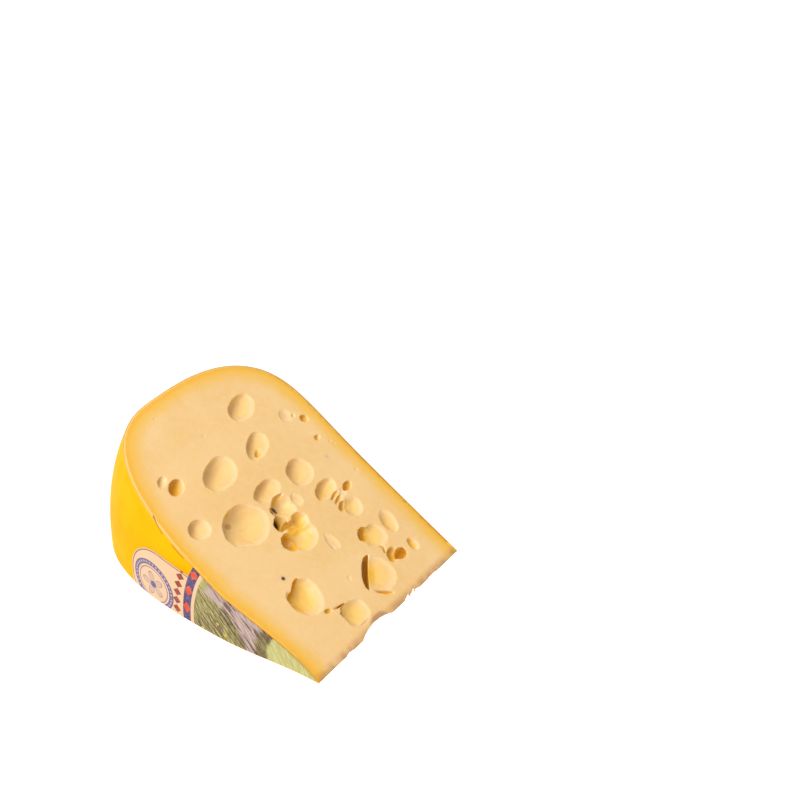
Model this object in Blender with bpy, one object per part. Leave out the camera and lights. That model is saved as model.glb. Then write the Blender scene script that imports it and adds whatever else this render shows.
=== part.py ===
"""Cheese wedge: one loose wedge of a farmhouse hole cheese, lying on a cut face.

The wheel that the wedge comes from is a turned form, so the wedge is worked out
from a profile of the wheel and one angle. Two coordinates are used throughout:
r is the distance from the wheel's axis, and t is the distance along that axis
from the wheel's printed side. The axis is the wedge's thin tip edge.

In the part's frame +X runs from the rim to the tip edge, the printed side faces
-Y, and +Z is up. The origin is at the bottom centre of the whole. Units: metres.
"""

import math
import random
from typing import NamedTuple

import bmesh
import bpy
from mathutils import Matrix, Vector

MM = 0.001

# The wheel: its printed side is dished, and its base side is hollow up to a foot
WHEEL_RADIUS = 175 * MM
WHEEL_HEIGHT = 132.5 * MM
WIDEST_LEVEL = 57 * MM
LABEL_SHOULDER = 110 * MM
BASE_SHOULDER = 55 * MM
SHOULDER_POWER = 2.7
LABEL_SIDE_DISH = 5 * MM
BASE_SIDE_DISH = 1.8 * MM
BASE_FOOT_POWER = 3

# The printed side sinks further near the axis on its way to the upper cut
LABEL_SIDE_SAG = 2.1 * MM
SAG_POWER = 0.6

# The wedge, and how finely its outline is stepped
WEDGE_ANGLE = math.radians(28.5)
SPIN_STEPS = 12
CENTRE_STEPS = 7
LABEL_SHOULDER_STEPS = 18
BASE_SHOULDER_STEPS = 16
MERGE_DISTANCE = 0.01 * MM

# The printed label, a sheet on the wheel's upper side
LABEL_GAP = 0.3 * MM
LABEL_THICKNESS = 0.4 * MM
LABEL_DISC_RADIUS = 88 * MM
LABEL_START = 2 * MM
LABEL_FLOOR_CLEARANCE = 0.8 * MM

# The label's tongue towards the rim, and the form that trims the sheet
TONGUE_ANGLE = math.radians(5.5)
TONGUE_HALF_WIDTH = 26 * MM
TONGUE_ROUND_START = 106 * MM
TONGUE_END = 130 * MM
TRIM_OVERHANG = math.radians(4)
TRIM_MARGIN = 10 * MM
TRIM_DEPTH = 30 * MM
ARC_STEPS = 10

# The solid's places in its own frame
LABEL_PROUD = LABEL_GAP + LABEL_THICKNESS
TIP_X = WHEEL_RADIUS / 2
LEVEL_ZERO_Y = -(WHEEL_HEIGHT - LABEL_PROUD) / 2


class Eye(NamedTuple):
    """A bubble that the knife opened: lengths in mm, angles in degrees.

    r and t place the mouth's centre. The mouth is an ellipse of these half sizes,
    whose length is turned by tilt from the axis' direction towards the rim. The
    floor lies depth below the face, moved by lean times the depth under the steep
    lip, which lies in the direction steep, counted as tilt is.
    """

    r: float
    t: float
    half_length: float
    half_width: float
    tilt: float
    depth: float
    lean: float = 0.8
    steep: float = 130


UPPER_EYES = (
    Eye(19.8, 112.3, 4.2, 2.8, 84, 2.8),
    Eye(38.6, 111.6, 7.4, 4.6, 78, 2.6, steep=190),
    Eye(20.9, 101.4, 3.6, 3, 10, 7, 0.5, -50),
    Eye(23.2, 97.2, 4.7, 3.5, 35, 4.6, 0.4),
    Eye(37.5, 97.5, 7.6, 6.6, 30, 3.4, 1.2),
    Eye(42.2, 92.9, 4.6, 3.6, 30, 7, 0.3),
    Eye(20.6, 80.4, 11, 9.2, 40, 2.9, 0.9),
    Eye(26, 77.4, 10.8, 3, 43, 7.5, 0.3),
    Eye(13.4, 52.4, 8.3, 7, 25, 3.8, 0.9),
    Eye(18, 48.6, 3.8, 1.6, 42, 4.6, 0.5),
    Eye(24.2, 40.6, 2.5, 1.6, -20, 3.6, 0.3),
    Eye(37.2, 37.8, 11, 7.6, 52, 5.2),
    Eye(44, 35.8, 6.6, 2.4, 36, 6.5, 0.5),
    Eye(39, 30.3, 7.4, 3.4, 82, 3.6, steep=180),
    Eye(63.5, 63, 9.5, 7.4, 20, 5.6, 0.6),
    Eye(65, 55, 5.4, 5.6, 10, 9, 0.3),
    Eye(70.6, 68.6, 6.2, 4.8, 45, 5, 0.4),
    Eye(71.5, 63, 3.6, 2.6, 0, 7.5, 0.2),
    Eye(76.6, 58.9, 5.4, 3.6, 40, 10, 0.6),
    Eye(82.6, 68, 6.8, 6.2, 10, 5.6, 0.7),
    Eye(83.8, 61, 2.6, 1.6, 80, 9, 0.6),
    Eye(95.2, 67.6, 9.8, 5.7, 8, 4.6, 0.9),
    Eye(87.8, 41, 14.6, 11.4, 14, 6.8, 1.15),
    Eye(101.5, 19.2, 6.3, 5.6, 10, 4.6, 0.9),
    Eye(127.2, 27.5, 5.6, 3.9, 28, 6.6, 0.5),
    Eye(134, 23.6, 4, 2.3, 30, 2.2, 0.9),
    Eye(119, 53.4, 12.4, 8.2, 18, 5.4, 0.9),
    Eye(118.4, 84, 10.6, 5.8, 28, 4.4, 0.9),
    Eye(141.4, 95.2, 10.2, 6.8, 22, 5, 0.9),
    Eye(114.6, 121.4, 2.4, 2.4, 0, 3.6, 0.4),
    Eye(122.4, 113.3, 5, 4, 60, 1.1),
    Eye(101.2, 118.2, 2, 1.5, 10, 3.2, 0.3),
    Eye(69, 108.9, 3.3, 2.2, 15, 6, 0.3),
    Eye(58, 101.4, 6.4, 5.4, 40, 2.6, 0.7),
    Eye(62, 96.2, 3.6, 1.7, 28, 6, 0.2),
    Eye(66, 98, 4.2, 1.4, 14, 2.8, 0.6),
    Eye(75, 96.4, 8.4, 5, 12, 4.6, 0.7),
    Eye(92.2, 92.2, 8.8, 7.6, 40, 5, 0.9),
)

# The notch in the tip edge, and the slope above it
TIP_BITE = (
    Eye(-3, 56.5, 14.6, 6.2, 0, 9, 0),
    Eye(1.5, 61, 7.6, 5.7, 0, 1.5, 0),
)

# Eyes longer than this are cut with the finer ball
FINE_EYE_LENGTH = 5.2 * MM
FINE_BALL_DETAIL = 3
PLAIN_BALL_DETAIL = 2

# Eyes in the lower cut face, laid out by a rule like the upper face's: the range
# of each draw, the share of width to length and of depth to half length
LOWER_EYE_COUNT = 24
LOWER_EYE_SEED = 11
LOWER_EYE_R = (46 * MM, 148 * MM)
LOWER_EYE_T = (16 * MM, 116 * MM)
LOWER_EYE_SIZE = (3 * MM, 10.5 * MM)
LOWER_EYE_WIDTH_SHARE = (0.6, 0.95)
LOWER_EYE_DEPTH_SHARE = (0.35, 0.7)
LOWER_EYE_TILT = (-45, 5)
LOWER_EYE_LEAN = 0.5
LOWER_EYE_GAP = 1.5 * MM
SMALL_EYE_BIAS = 1.6
RESTING_SPOT_RADIUS = 12 * MM

PASTE_COLOUR = (0.82, 0.54, 0.24, 1)
PASTE_ROUGHNESS = 0.55
LABEL_COLOUR = (0.27, 0.25, 0.11, 1)
LABEL_ROUGHNESS = 0.4


def clear_scene():
    """Remove every object that the file opened with."""
    for thing in list(bpy.data.objects):
        bpy.data.objects.remove(thing, do_unlink=True)


def wheel_profile():
    """Return the wheel's half outline as (r, t), from the centre of the printed
    side, round the rim, to the centre of the base side."""
    power = 2 / SHOULDER_POWER
    label_flat = WHEEL_RADIUS - LABEL_SHOULDER
    base_flat = WHEEL_RADIUS - BASE_SHOULDER
    points = []
    for step in range(CENTRE_STEPS):
        share = step / CENTRE_STEPS
        dish = LABEL_SIDE_DISH * (1 + math.cos(math.pi * share)) / 2
        points.append((label_flat * share, dish))
    for step in range(LABEL_SHOULDER_STEPS):
        turn = math.pi / 2 * step / LABEL_SHOULDER_STEPS
        r = label_flat + LABEL_SHOULDER * math.sin(turn) ** power
        points.append((r, WIDEST_LEVEL * (1 - math.cos(turn) ** power)))
    for step in range(BASE_SHOULDER_STEPS):
        turn = math.pi / 2 * step / BASE_SHOULDER_STEPS
        rise = (WHEEL_HEIGHT - WIDEST_LEVEL) * math.sin(turn) ** power
        points.append((base_flat + BASE_SHOULDER * math.cos(turn) ** power, WIDEST_LEVEL + rise))
    for step in range(CENTRE_STEPS + 1):
        share = 1 - step / CENTRE_STEPS
        dish = BASE_SIDE_DISH * (1 + math.cos(math.pi * share**BASE_FOOT_POWER)) / 2
        points.append((base_flat * share, WHEEL_HEIGHT - dish))
    return points


def printed_side_sag(r, turn):
    """Return how far the printed side sinks at r, at this angle above the lower cut."""
    share = min(r / (WHEEL_RADIUS - LABEL_SHOULDER), 1)
    return LABEL_SIDE_SAG * math.sin(math.pi * share) ** SAG_POWER * turn / WEDGE_ANGLE


def spun_solid(outline):
    """Turn a closed (r, t) outline through the wedge's angle about the tip edge."""
    bm = bmesh.new()
    corners = [bm.verts.new((TIP_X - r, LEVEL_ZERO_Y + t, 0)) for r, t in outline]
    bmesh.ops.spin(
        bm,
        geom=[bm.faces.new(corners)],
        cent=(TIP_X, 0, 0),
        axis=(0, 1, 0),
        angle=WEDGE_ANGLE,
        steps=SPIN_STEPS,
        use_duplicate=False,
    )
    bmesh.ops.remove_doubles(bm, verts=bm.verts, dist=MERGE_DISTANCE)
    for vert in bm.verts:
        if vert.co.y < LEVEL_ZERO_Y + WIDEST_LEVEL:
            out = TIP_X - vert.co.x
            vert.co.y += printed_side_sag(math.hypot(out, vert.co.z), math.atan2(vert.co.z, out))
    bmesh.ops.recalc_face_normals(bm, faces=bm.faces)
    return bm


def new_object(name, bm, material=None):
    """Put a finished bmesh into an object of its own and link it to the scene."""
    mesh = bpy.data.meshes.new(name)
    bm.to_mesh(mesh)
    bm.free()
    if material:
        mesh.materials.append(material)
    thing = bpy.data.objects.new(name, mesh)
    bpy.context.scene.collection.objects.link(thing)
    return thing


def principled(name, colour, roughness):
    """Return a plain Principled material."""
    material = bpy.data.materials.new(name)
    material.use_nodes = True
    shader = material.node_tree.nodes["Principled BSDF"]
    shader.inputs["Base Color"].default_value = colour
    shader.inputs["Roughness"].default_value = roughness
    shader.inputs["Metallic"].default_value = 0
    return material


def cut_face_frame(angle):
    """Return the frame of a cut face: X along the tip edge, Y towards the rim and
    Z straight out of the wedge, with its origin at r = 0 and t = 0."""
    if angle > 0:
        outwards = Vector((math.sin(angle), 0, math.cos(angle)))
        to_rim = Vector((-math.cos(angle), 0, math.sin(angle)))
        along = Vector((0, 1, 0))
    else:
        outwards = Vector((0, 0, -1))
        to_rim = Vector((-1, 0, 0))
        along = Vector((0, -1, 0))
    frame = Matrix((along, to_rim, outwards)).transposed().to_4x4()
    frame.translation = (TIP_X, LEVEL_ZERO_Y, 0)
    return frame


def bubble(name, frame, eye):
    """Return a ball, sheared under the steep lip, that cuts an eye in a face."""
    half_length = eye.half_length * MM
    half_width = eye.half_width * MM
    depth = eye.depth * MM
    mean = math.sqrt(half_length * half_width)
    radius = (mean**2 + depth**2) / (2 * depth)
    detail = FINE_BALL_DETAIL if half_length > FINE_EYE_LENGTH else PLAIN_BALL_DETAIL
    bm = bmesh.new()
    bmesh.ops.create_icosphere(bm, subdivisions=detail, radius=radius)
    stretch = Matrix.Diagonal((half_length / mean, half_width / mean, 1, 1))
    turned = Matrix.Translation((0, 0, radius - depth)) @ Matrix.Rotation(math.radians(eye.tilt), 4, "Z")
    shear = Matrix.Identity(4)
    shear[0][2] = -eye.lean * math.cos(math.radians(eye.steep))
    shear[1][2] = -eye.lean * math.sin(math.radians(eye.steep))
    place = frame @ Matrix.Translation((eye.t * MM, eye.r * MM, 0))
    bmesh.ops.transform(bm, matrix=place @ shear @ turned @ stretch, verts=bm.verts)
    return new_object(name, bm)


def upper_eye_cutters():
    """Make one ball for each eye of the upper cut face, and those of the notch."""
    frame = cut_face_frame(WEDGE_ANGLE)
    return [bubble(f"upper_eye_{number:02d}", frame, eye) for number, eye in enumerate(UPPER_EYES + TIP_BITE)]


def lower_eye_places():
    """Choose the lower face's eyes: clear of each other and of the spot it rests on."""
    draw = random.Random(LOWER_EYE_SEED)
    rest = Vector((TIP_X, -LEVEL_ZERO_Y))
    places = []
    smallest, largest = LOWER_EYE_SIZE
    while len(places) < LOWER_EYE_COUNT:
        centre = Vector((draw.uniform(*LOWER_EYE_R), draw.uniform(*LOWER_EYE_T)))
        size = smallest + (largest - smallest) * draw.random() ** SMALL_EYE_BIAS
        if (centre - rest).length < size + RESTING_SPOT_RADIUS:
            continue
        if all((centre - other).length > size + taken + LOWER_EYE_GAP for other, taken in places):
            places.append((centre, size))
    return places


def lower_eye_cutters():
    """Make one ball for each eye of the lower cut face, whose X runs against t."""
    frame = cut_face_frame(0)
    draw = random.Random(LOWER_EYE_SEED + 1)
    balls = []
    for number, (centre, size) in enumerate(lower_eye_places()):
        centre, size = centre / MM, size / MM
        width = size * draw.uniform(*LOWER_EYE_WIDTH_SHARE)
        depth = size * draw.uniform(*LOWER_EYE_DEPTH_SHARE)
        eye = Eye(centre.x, -centre.y, size, width, draw.uniform(*LOWER_EYE_TILT), depth, LOWER_EYE_LEAN)
        balls.append(bubble(f"lower_eye_{number:02d}", frame, eye))
    return balls


def boolean(body, operation, operands):
    """Cut or trim a body with a group of solids, for good, and remove the solids."""
    group = bpy.data.collections.new("cutting_solids")
    bpy.context.scene.collection.children.link(group)
    for operand in operands:
        group.objects.link(operand)
    cut = body.modifiers.new("cut", "BOOLEAN")
    cut.operation = operation
    cut.operand_type = "COLLECTION"
    cut.collection = group
    cut.solver = "EXACT"
    depsgraph = bpy.context.evaluated_depsgraph_get()
    finished = bpy.data.meshes.new_from_object(body.evaluated_get(depsgraph))
    body.modifiers.clear()
    body.data = finished
    for operand in operands:
        bpy.data.objects.remove(operand, do_unlink=True)
    bpy.data.collections.remove(group)


def make_cheese():
    """Build the wedge itself: the turned body less its eyes and the tip's notch."""
    paste = principled("paste", PASTE_COLOUR, PASTE_ROUGHNESS)
    body = new_object("cheese", spun_solid(wheel_profile()), paste)
    boolean(body, "DIFFERENCE", upper_eye_cutters() + lower_eye_cutters())
    return body


def label_outline():
    """Return the label's outline, seen square to the printed side, as (x, z)
    distances from the tip edge: a disc's sector with one tongue towards the rim."""
    reach = TONGUE_END - TONGUE_ROUND_START
    tongue = []
    for step in range(ARC_STEPS + 1):
        turn = math.pi / 2 * step / ARC_STEPS
        out = TONGUE_ROUND_START + reach * math.cos(turn)
        side = TONGUE_HALF_WIDTH * math.sin(turn)
        x = out * math.cos(TONGUE_ANGLE) - side * math.sin(TONGUE_ANGLE)
        z = out * math.sin(TONGUE_ANGLE) + side * math.cos(TONGUE_ANGLE)
        tongue.append((x, z))
    neck = TONGUE_ANGLE + math.asin(TONGUE_HALF_WIDTH / LABEL_DISC_RADIUS)
    beyond = WEDGE_ANGLE + TRIM_OVERHANG
    disc = []
    for step in range(ARC_STEPS + 1):
        turn = neck + (beyond - neck) * step / ARC_STEPS
        disc.append((LABEL_DISC_RADIUS * math.cos(turn), LABEL_DISC_RADIUS * math.sin(turn)))
    near_floor = [(LABEL_START, LABEL_FLOOR_CLEARANCE), (tongue[0][0], LABEL_FLOOR_CLEARANCE)]
    return near_floor + tongue + disc + [(LABEL_START, LABEL_START + LABEL_FLOOR_CLEARANCE)]


def make_label():
    """Build the printed sheet: a thin layer over the printed side, trimmed to its
    outline and cut off with the wedge."""
    reach = TONGUE_END + TRIM_MARGIN
    covered = [(r, t) for r, t in wheel_profile() if t < WIDEST_LEVEL / 2 and r < reach]
    covered[0] = (LABEL_START / 2, covered[0][1])
    inner = [(r, t - LABEL_GAP) for r, t in covered]
    outer = [(r, t - LABEL_PROUD) for r, t in covered]
    print_coat = principled("printed_sheet", LABEL_COLOUR, LABEL_ROUGHNESS)
    sheet = new_object("label", spun_solid(inner + outer[::-1]), print_coat)
    trim = bmesh.new()
    corners = [trim.verts.new((TIP_X - x, LEVEL_ZERO_Y - TRIM_MARGIN, z)) for x, z in label_outline()]
    raised = bmesh.ops.extrude_face_region(trim, geom=[trim.faces.new(corners)])["geom"]
    moved = [item for item in raised if isinstance(item, bmesh.types.BMVert)]
    bmesh.ops.translate(trim, vec=(0, TRIM_DEPTH, 0), verts=moved)
    bmesh.ops.recalc_face_normals(trim, faces=trim.faces)
    boolean(sheet, "INTERSECT", [new_object("label_trim", trim)])
    return sheet


clear_scene()
make_cheese()
make_label()
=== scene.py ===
"""Dress a packed cheese wedge: paste with soft-lipped eyes, glossy coat, printed label.

The wedge is a slice of a turned wheel. Two coordinates are used throughout: r is the
distance from the wheel's axis, which is the wedge's thin tip edge, and t is the
distance along that axis from the wheel's printed side. Both are in metres here, and
places on the cut faces are given in millimetres.
"""

import logging
import math
import random
from dataclasses import dataclass, field
from enum import Enum
from typing import Iterable, Optional, Sequence, Union

import bmesh
import bpy
import numpy as np
from mathutils import Matrix, Vector, noise


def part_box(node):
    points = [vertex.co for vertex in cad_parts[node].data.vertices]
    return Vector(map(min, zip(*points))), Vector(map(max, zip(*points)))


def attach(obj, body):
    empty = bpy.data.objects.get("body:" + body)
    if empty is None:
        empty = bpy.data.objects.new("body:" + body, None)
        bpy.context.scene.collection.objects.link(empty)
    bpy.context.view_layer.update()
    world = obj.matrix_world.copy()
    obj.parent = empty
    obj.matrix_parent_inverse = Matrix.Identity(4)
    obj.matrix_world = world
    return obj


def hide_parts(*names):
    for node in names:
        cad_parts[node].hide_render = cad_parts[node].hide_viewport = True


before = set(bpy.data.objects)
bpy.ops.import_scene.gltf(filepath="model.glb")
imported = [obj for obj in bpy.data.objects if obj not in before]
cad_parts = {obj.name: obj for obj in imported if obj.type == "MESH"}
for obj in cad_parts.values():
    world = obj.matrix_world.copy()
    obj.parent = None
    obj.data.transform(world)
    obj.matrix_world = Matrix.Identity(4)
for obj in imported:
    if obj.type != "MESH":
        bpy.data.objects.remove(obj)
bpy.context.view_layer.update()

MM = 0.001
BODY = "root"
LOG = logging.getLogger("cheese_wedge")

FINE_VOXEL = 0.5 * MM
WELD_DISTANCE = 0.005 * MM
SMOOTH_LIMIT = math.radians(40)
DISC_RADIUS = 88.0
WAX_IOR = 1.45
WHITE = (1, 1, 1, 1)

Disc = tuple[float, float, float]
Colour = tuple[float, float, float, float]
Feed = Union[float, Colour, bpy.types.NodeSocket]


class CutFace(Enum):
    """The wedge's two cut faces, by their angle from the floor in degrees."""

    LOWER = 0.0
    UPPER = 28.5


class Channel(Enum):
    """Names of the values that the paste's mesh carries for its finish."""

    RIND_DEPTH = "rind_depth"
    HOLLOW = "hollow"
    # The next two hold painted shade on the eyes' walls and floors.
    WALL_SHADE = "wall"
    HOLE_SHADE = "dark"
    TIP_DISTANCE = "tip_distance"


class Slot(Enum):
    """The record's material slots."""

    PASTE = "paste"
    RIND = "rind"
    LABEL = "printed_label"


@dataclass(frozen=True)
class WheelForm:
    """The turned wheel that the wedge was cut from, and the wedge's place in the frame.

    Attributes:
        radius: Wheel radius at its widest level.
        height: Wheel height from the printed side to the base side.
        tip_x: Where the tip edge lies along X.
        start_y: Where t is zero along Y.
        angle: The wedge's angle.
        widest_level: t where the wheel is widest.
        label_shoulder: How far the printed side's round shoulder reaches inwards.
        base_shoulder: The same on the base side.
        shoulder_power: How square the shoulders are; 2 is an ellipse.
        label_dish: How far the printed side is dished at the axis.
        label_sag: How far it sinks at most on its way to the upper cut.
        sag_power: How evenly the sinking is spread; less is flatter.
        base_dish: How far the base side is dished at the axis.
        base_foot_power: How far out the base's dish reaches.
    """

    radius: float
    height: float
    tip_x: float
    start_y: float
    angle: float = math.radians(CutFace.UPPER.value)
    widest_level: float = 57 * MM
    label_shoulder: float = 110 * MM
    base_shoulder: float = 55 * MM
    shoulder_power: float = 2.7
    label_dish: float = 5 * MM
    label_sag: float = 2.1 * MM
    sag_power: float = 0.6
    base_dish: float = 1.8 * MM
    base_foot_power: float = 3.0

    @classmethod
    def from_frame(cls) -> "WheelForm":
        """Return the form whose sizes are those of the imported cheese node."""
        low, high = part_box("cheese")
        return cls(high.x - low.x, high.y - low.y, high.x, low.y)

    def outline(self, inset: float = 0.0, steps: int = 60) -> np.ndarray:
        """Return the wheel's half outline, from the printed side round to the base.

        Args:
            inset: How far the outline lies inside the wheel's surface.
            steps: Points along the longest of the outline's four runs.

        Returns:
            An array of (r, t) rows that starts and ends on the axis.
        """
        power = 2 / self.shoulder_power
        label_flat = self.radius - self.label_shoulder
        base_flat = self.radius - self.base_shoulder
        runs = []
        share = np.linspace(0, 1, steps // 2, endpoint=False)
        dish = self.label_dish * (1 + np.cos(np.pi * share)) / 2
        runs.append(np.column_stack((label_flat * share, dish)))
        turn = np.linspace(0, np.pi / 2, steps, endpoint=False)
        out = label_flat + self.label_shoulder * np.sin(turn) ** power
        runs.append(np.column_stack((out, self.widest_level * (1 - np.cos(turn) ** power))))
        out = base_flat + self.base_shoulder * np.cos(turn) ** power
        rise = (self.height - self.widest_level) * np.sin(turn) ** power
        runs.append(np.column_stack((out, self.widest_level + rise)))
        share = np.linspace(1, 0, steps // 2)
        dish = self.base_dish * (1 + np.cos(np.pi * share**self.base_foot_power)) / 2
        runs.append(np.column_stack((base_flat * share, self.height - dish)))
        points = np.concatenate(runs)
        if inset:
            along = np.gradient(points, axis=0)
            along /= np.linalg.norm(along, axis=1, keepdims=True)
            inward = np.column_stack((-along[:, 1], along[:, 0]))
            inward[[0, -1]] = ((0, 1), (0, -1))
            points = points + inset * inward
        points[:, 0] = points[:, 0].clip(0)
        points[[0, -1], 0] = 0
        return points

    def sag(self, r: np.ndarray, t: np.ndarray, turn: np.ndarray) -> np.ndarray:
        """Return how far the printed side sinks on its way to the upper cut.

        Args:
            r: Distances from the tip edge.
            t: Distances from the printed side, which tell how much of it is felt.
            turn: Angles above the lower cut.

        Returns:
            The sinking at each point, along t.
        """
        share = np.clip(r / (self.radius - self.label_shoulder), 0, 1)
        depth = self.label_sag * np.sin(np.pi * share).clip(0) ** self.sag_power
        return depth * np.clip(turn / self.angle, 0, 1) * np.clip(2 - 2 * t / self.widest_level, 0, 1)

    def face_frame(self, face: CutFace) -> Matrix:
        """Return a cut face's frame.

        Args:
            face: The cut face.

        Returns:
            X along the tip edge, Y towards the rim, Z straight out of the wedge, with
            the origin at r = 0 and t = 0. On the lower face X runs against t.
        """
        if face is CutFace.UPPER:
            outwards = Vector((math.sin(self.angle), 0, math.cos(self.angle)))
            to_rim = Vector((-math.cos(self.angle), 0, math.sin(self.angle)))
            along = Vector((0, 1, 0))
        else:
            outwards = Vector((0, 0, -1))
            to_rim = Vector((-1, 0, 0))
            along = Vector((0, -1, 0))
        matrix = Matrix((along, to_rim, outwards)).transposed().to_4x4()
        matrix.translation = (self.tip_x, self.start_y, 0)
        return matrix

    def polar(self, points: np.ndarray) -> tuple[np.ndarray, np.ndarray, np.ndarray]:
        """Return r, t and the angle above the lower face of points in the frame.

        Args:
            points: Rows of x, y, z.

        Returns:
            Three arrays, one value a point.
        """
        out = self.tip_x - points[:, 0]
        return np.hypot(out, points[:, 2]), points[:, 1] - self.start_y, np.arctan2(points[:, 2], out)

    def spin_outline(self, outline: np.ndarray, steps: int, beyond: float = 0.0) -> bmesh.types.BMesh:
        """Turn a closed outline through the wedge's angle about the tip edge.

        Args:
            outline: Rows of (r, t) round a closed loop.
            steps: Number of steps round the wedge's angle.
            beyond: Extra angle past both cut faces.

        Returns:
            A closed bmesh with its faces pointing outwards.
        """
        bm = bmesh.new()
        ring = [bm.verts.new((self.tip_x - r, self.start_y + t, 0)) for r, t in outline]
        bmesh.ops.spin(
            bm,
            geom=[bm.faces.new(ring)],
            cent=(self.tip_x, 0, 0),
            axis=(0, 1, 0),
            angle=self.angle + 2 * beyond,
            steps=steps,
            use_duplicate=False,
        )
        centre = Matrix.Translation((self.tip_x, 0, 0))
        turned = centre @ Matrix.Rotation(-beyond, 4, "Y") @ centre.inverted()
        bmesh.ops.transform(bm, matrix=turned, verts=bm.verts)
        bmesh.ops.remove_doubles(bm, verts=bm.verts, dist=WELD_DISTANCE)
        r, t, turn = self.polar(np.array([vert.co[:] for vert in bm.verts]))
        for vert, sunk in zip(bm.verts, self.sag(r, t, turn)):
            vert.co.y += sunk
        bmesh.ops.recalc_face_normals(bm, faces=bm.faces)
        return bm


def to_object(name: str, bm: bmesh.types.BMesh) -> bpy.types.Object:
    """Put a bmesh into a new object at the origin and free it.

    Args:
        name: The object's name.
        bm: The finished shape.

    Returns:
        The linked object.
    """
    mesh = bpy.data.meshes.new(name)
    bm.to_mesh(mesh)
    bm.free()
    made = bpy.data.objects.new(name, mesh)
    bpy.context.scene.collection.objects.link(made)
    return made


def settle_modifiers(piece: bpy.types.Object) -> None:
    """Replace a piece's mesh by the one that its modifiers make, and drop them.

    Args:
        piece: The piece that changes.
    """
    depsgraph = bpy.context.evaluated_depsgraph_get()
    finished = bpy.data.meshes.new_from_object(piece.evaluated_get(depsgraph))
    piece.modifiers.clear()
    piece.data = finished


def combine(piece: bpy.types.Object, operation: str, operands: Sequence[bpy.types.Object]) -> None:
    """Cut or trim a piece with closed shapes, for good, and remove the shapes.

    Args:
        piece: The piece that changes.
        operation: DIFFERENCE or INTERSECT.
        operands: The shapes that cut it.
    """
    group = bpy.data.collections.new("cutting_shapes")
    bpy.context.scene.collection.children.link(group)
    for operand in operands:
        group.objects.link(operand)
    cut = piece.modifiers.new("cut", "BOOLEAN")
    cut.operation = operation
    cut.operand_type = "COLLECTION"
    cut.collection = group
    cut.solver = "MANIFOLD"
    settle_modifiers(piece)
    for operand in operands:
        bpy.data.objects.remove(operand, do_unlink=True)
    bpy.data.collections.remove(group)


def read_points(mesh: bpy.types.Mesh) -> np.ndarray:
    """Read where a mesh's vertices lie.

    Args:
        mesh: The mesh.

    Returns:
        Rows of x, y, z.
    """
    points = np.empty(len(mesh.vertices) * 3, np.float32)
    mesh.vertices.foreach_get("co", points)
    return points.reshape(-1, 3).astype(float)


def write_points(mesh: bpy.types.Mesh, points: np.ndarray) -> None:
    """Move a mesh's vertices to rows of x, y, z."""
    mesh.vertices.foreach_set("co", points.astype(np.float32).ravel())
    mesh.update()


def write_channel(mesh: bpy.types.Mesh, channel: Channel, values: np.ndarray) -> None:
    """Store one value a vertex under a channel's name."""
    made = mesh.attributes.new(channel.value, "FLOAT", "POINT")
    made.data.foreach_set("value", values.astype(np.float32))


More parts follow.
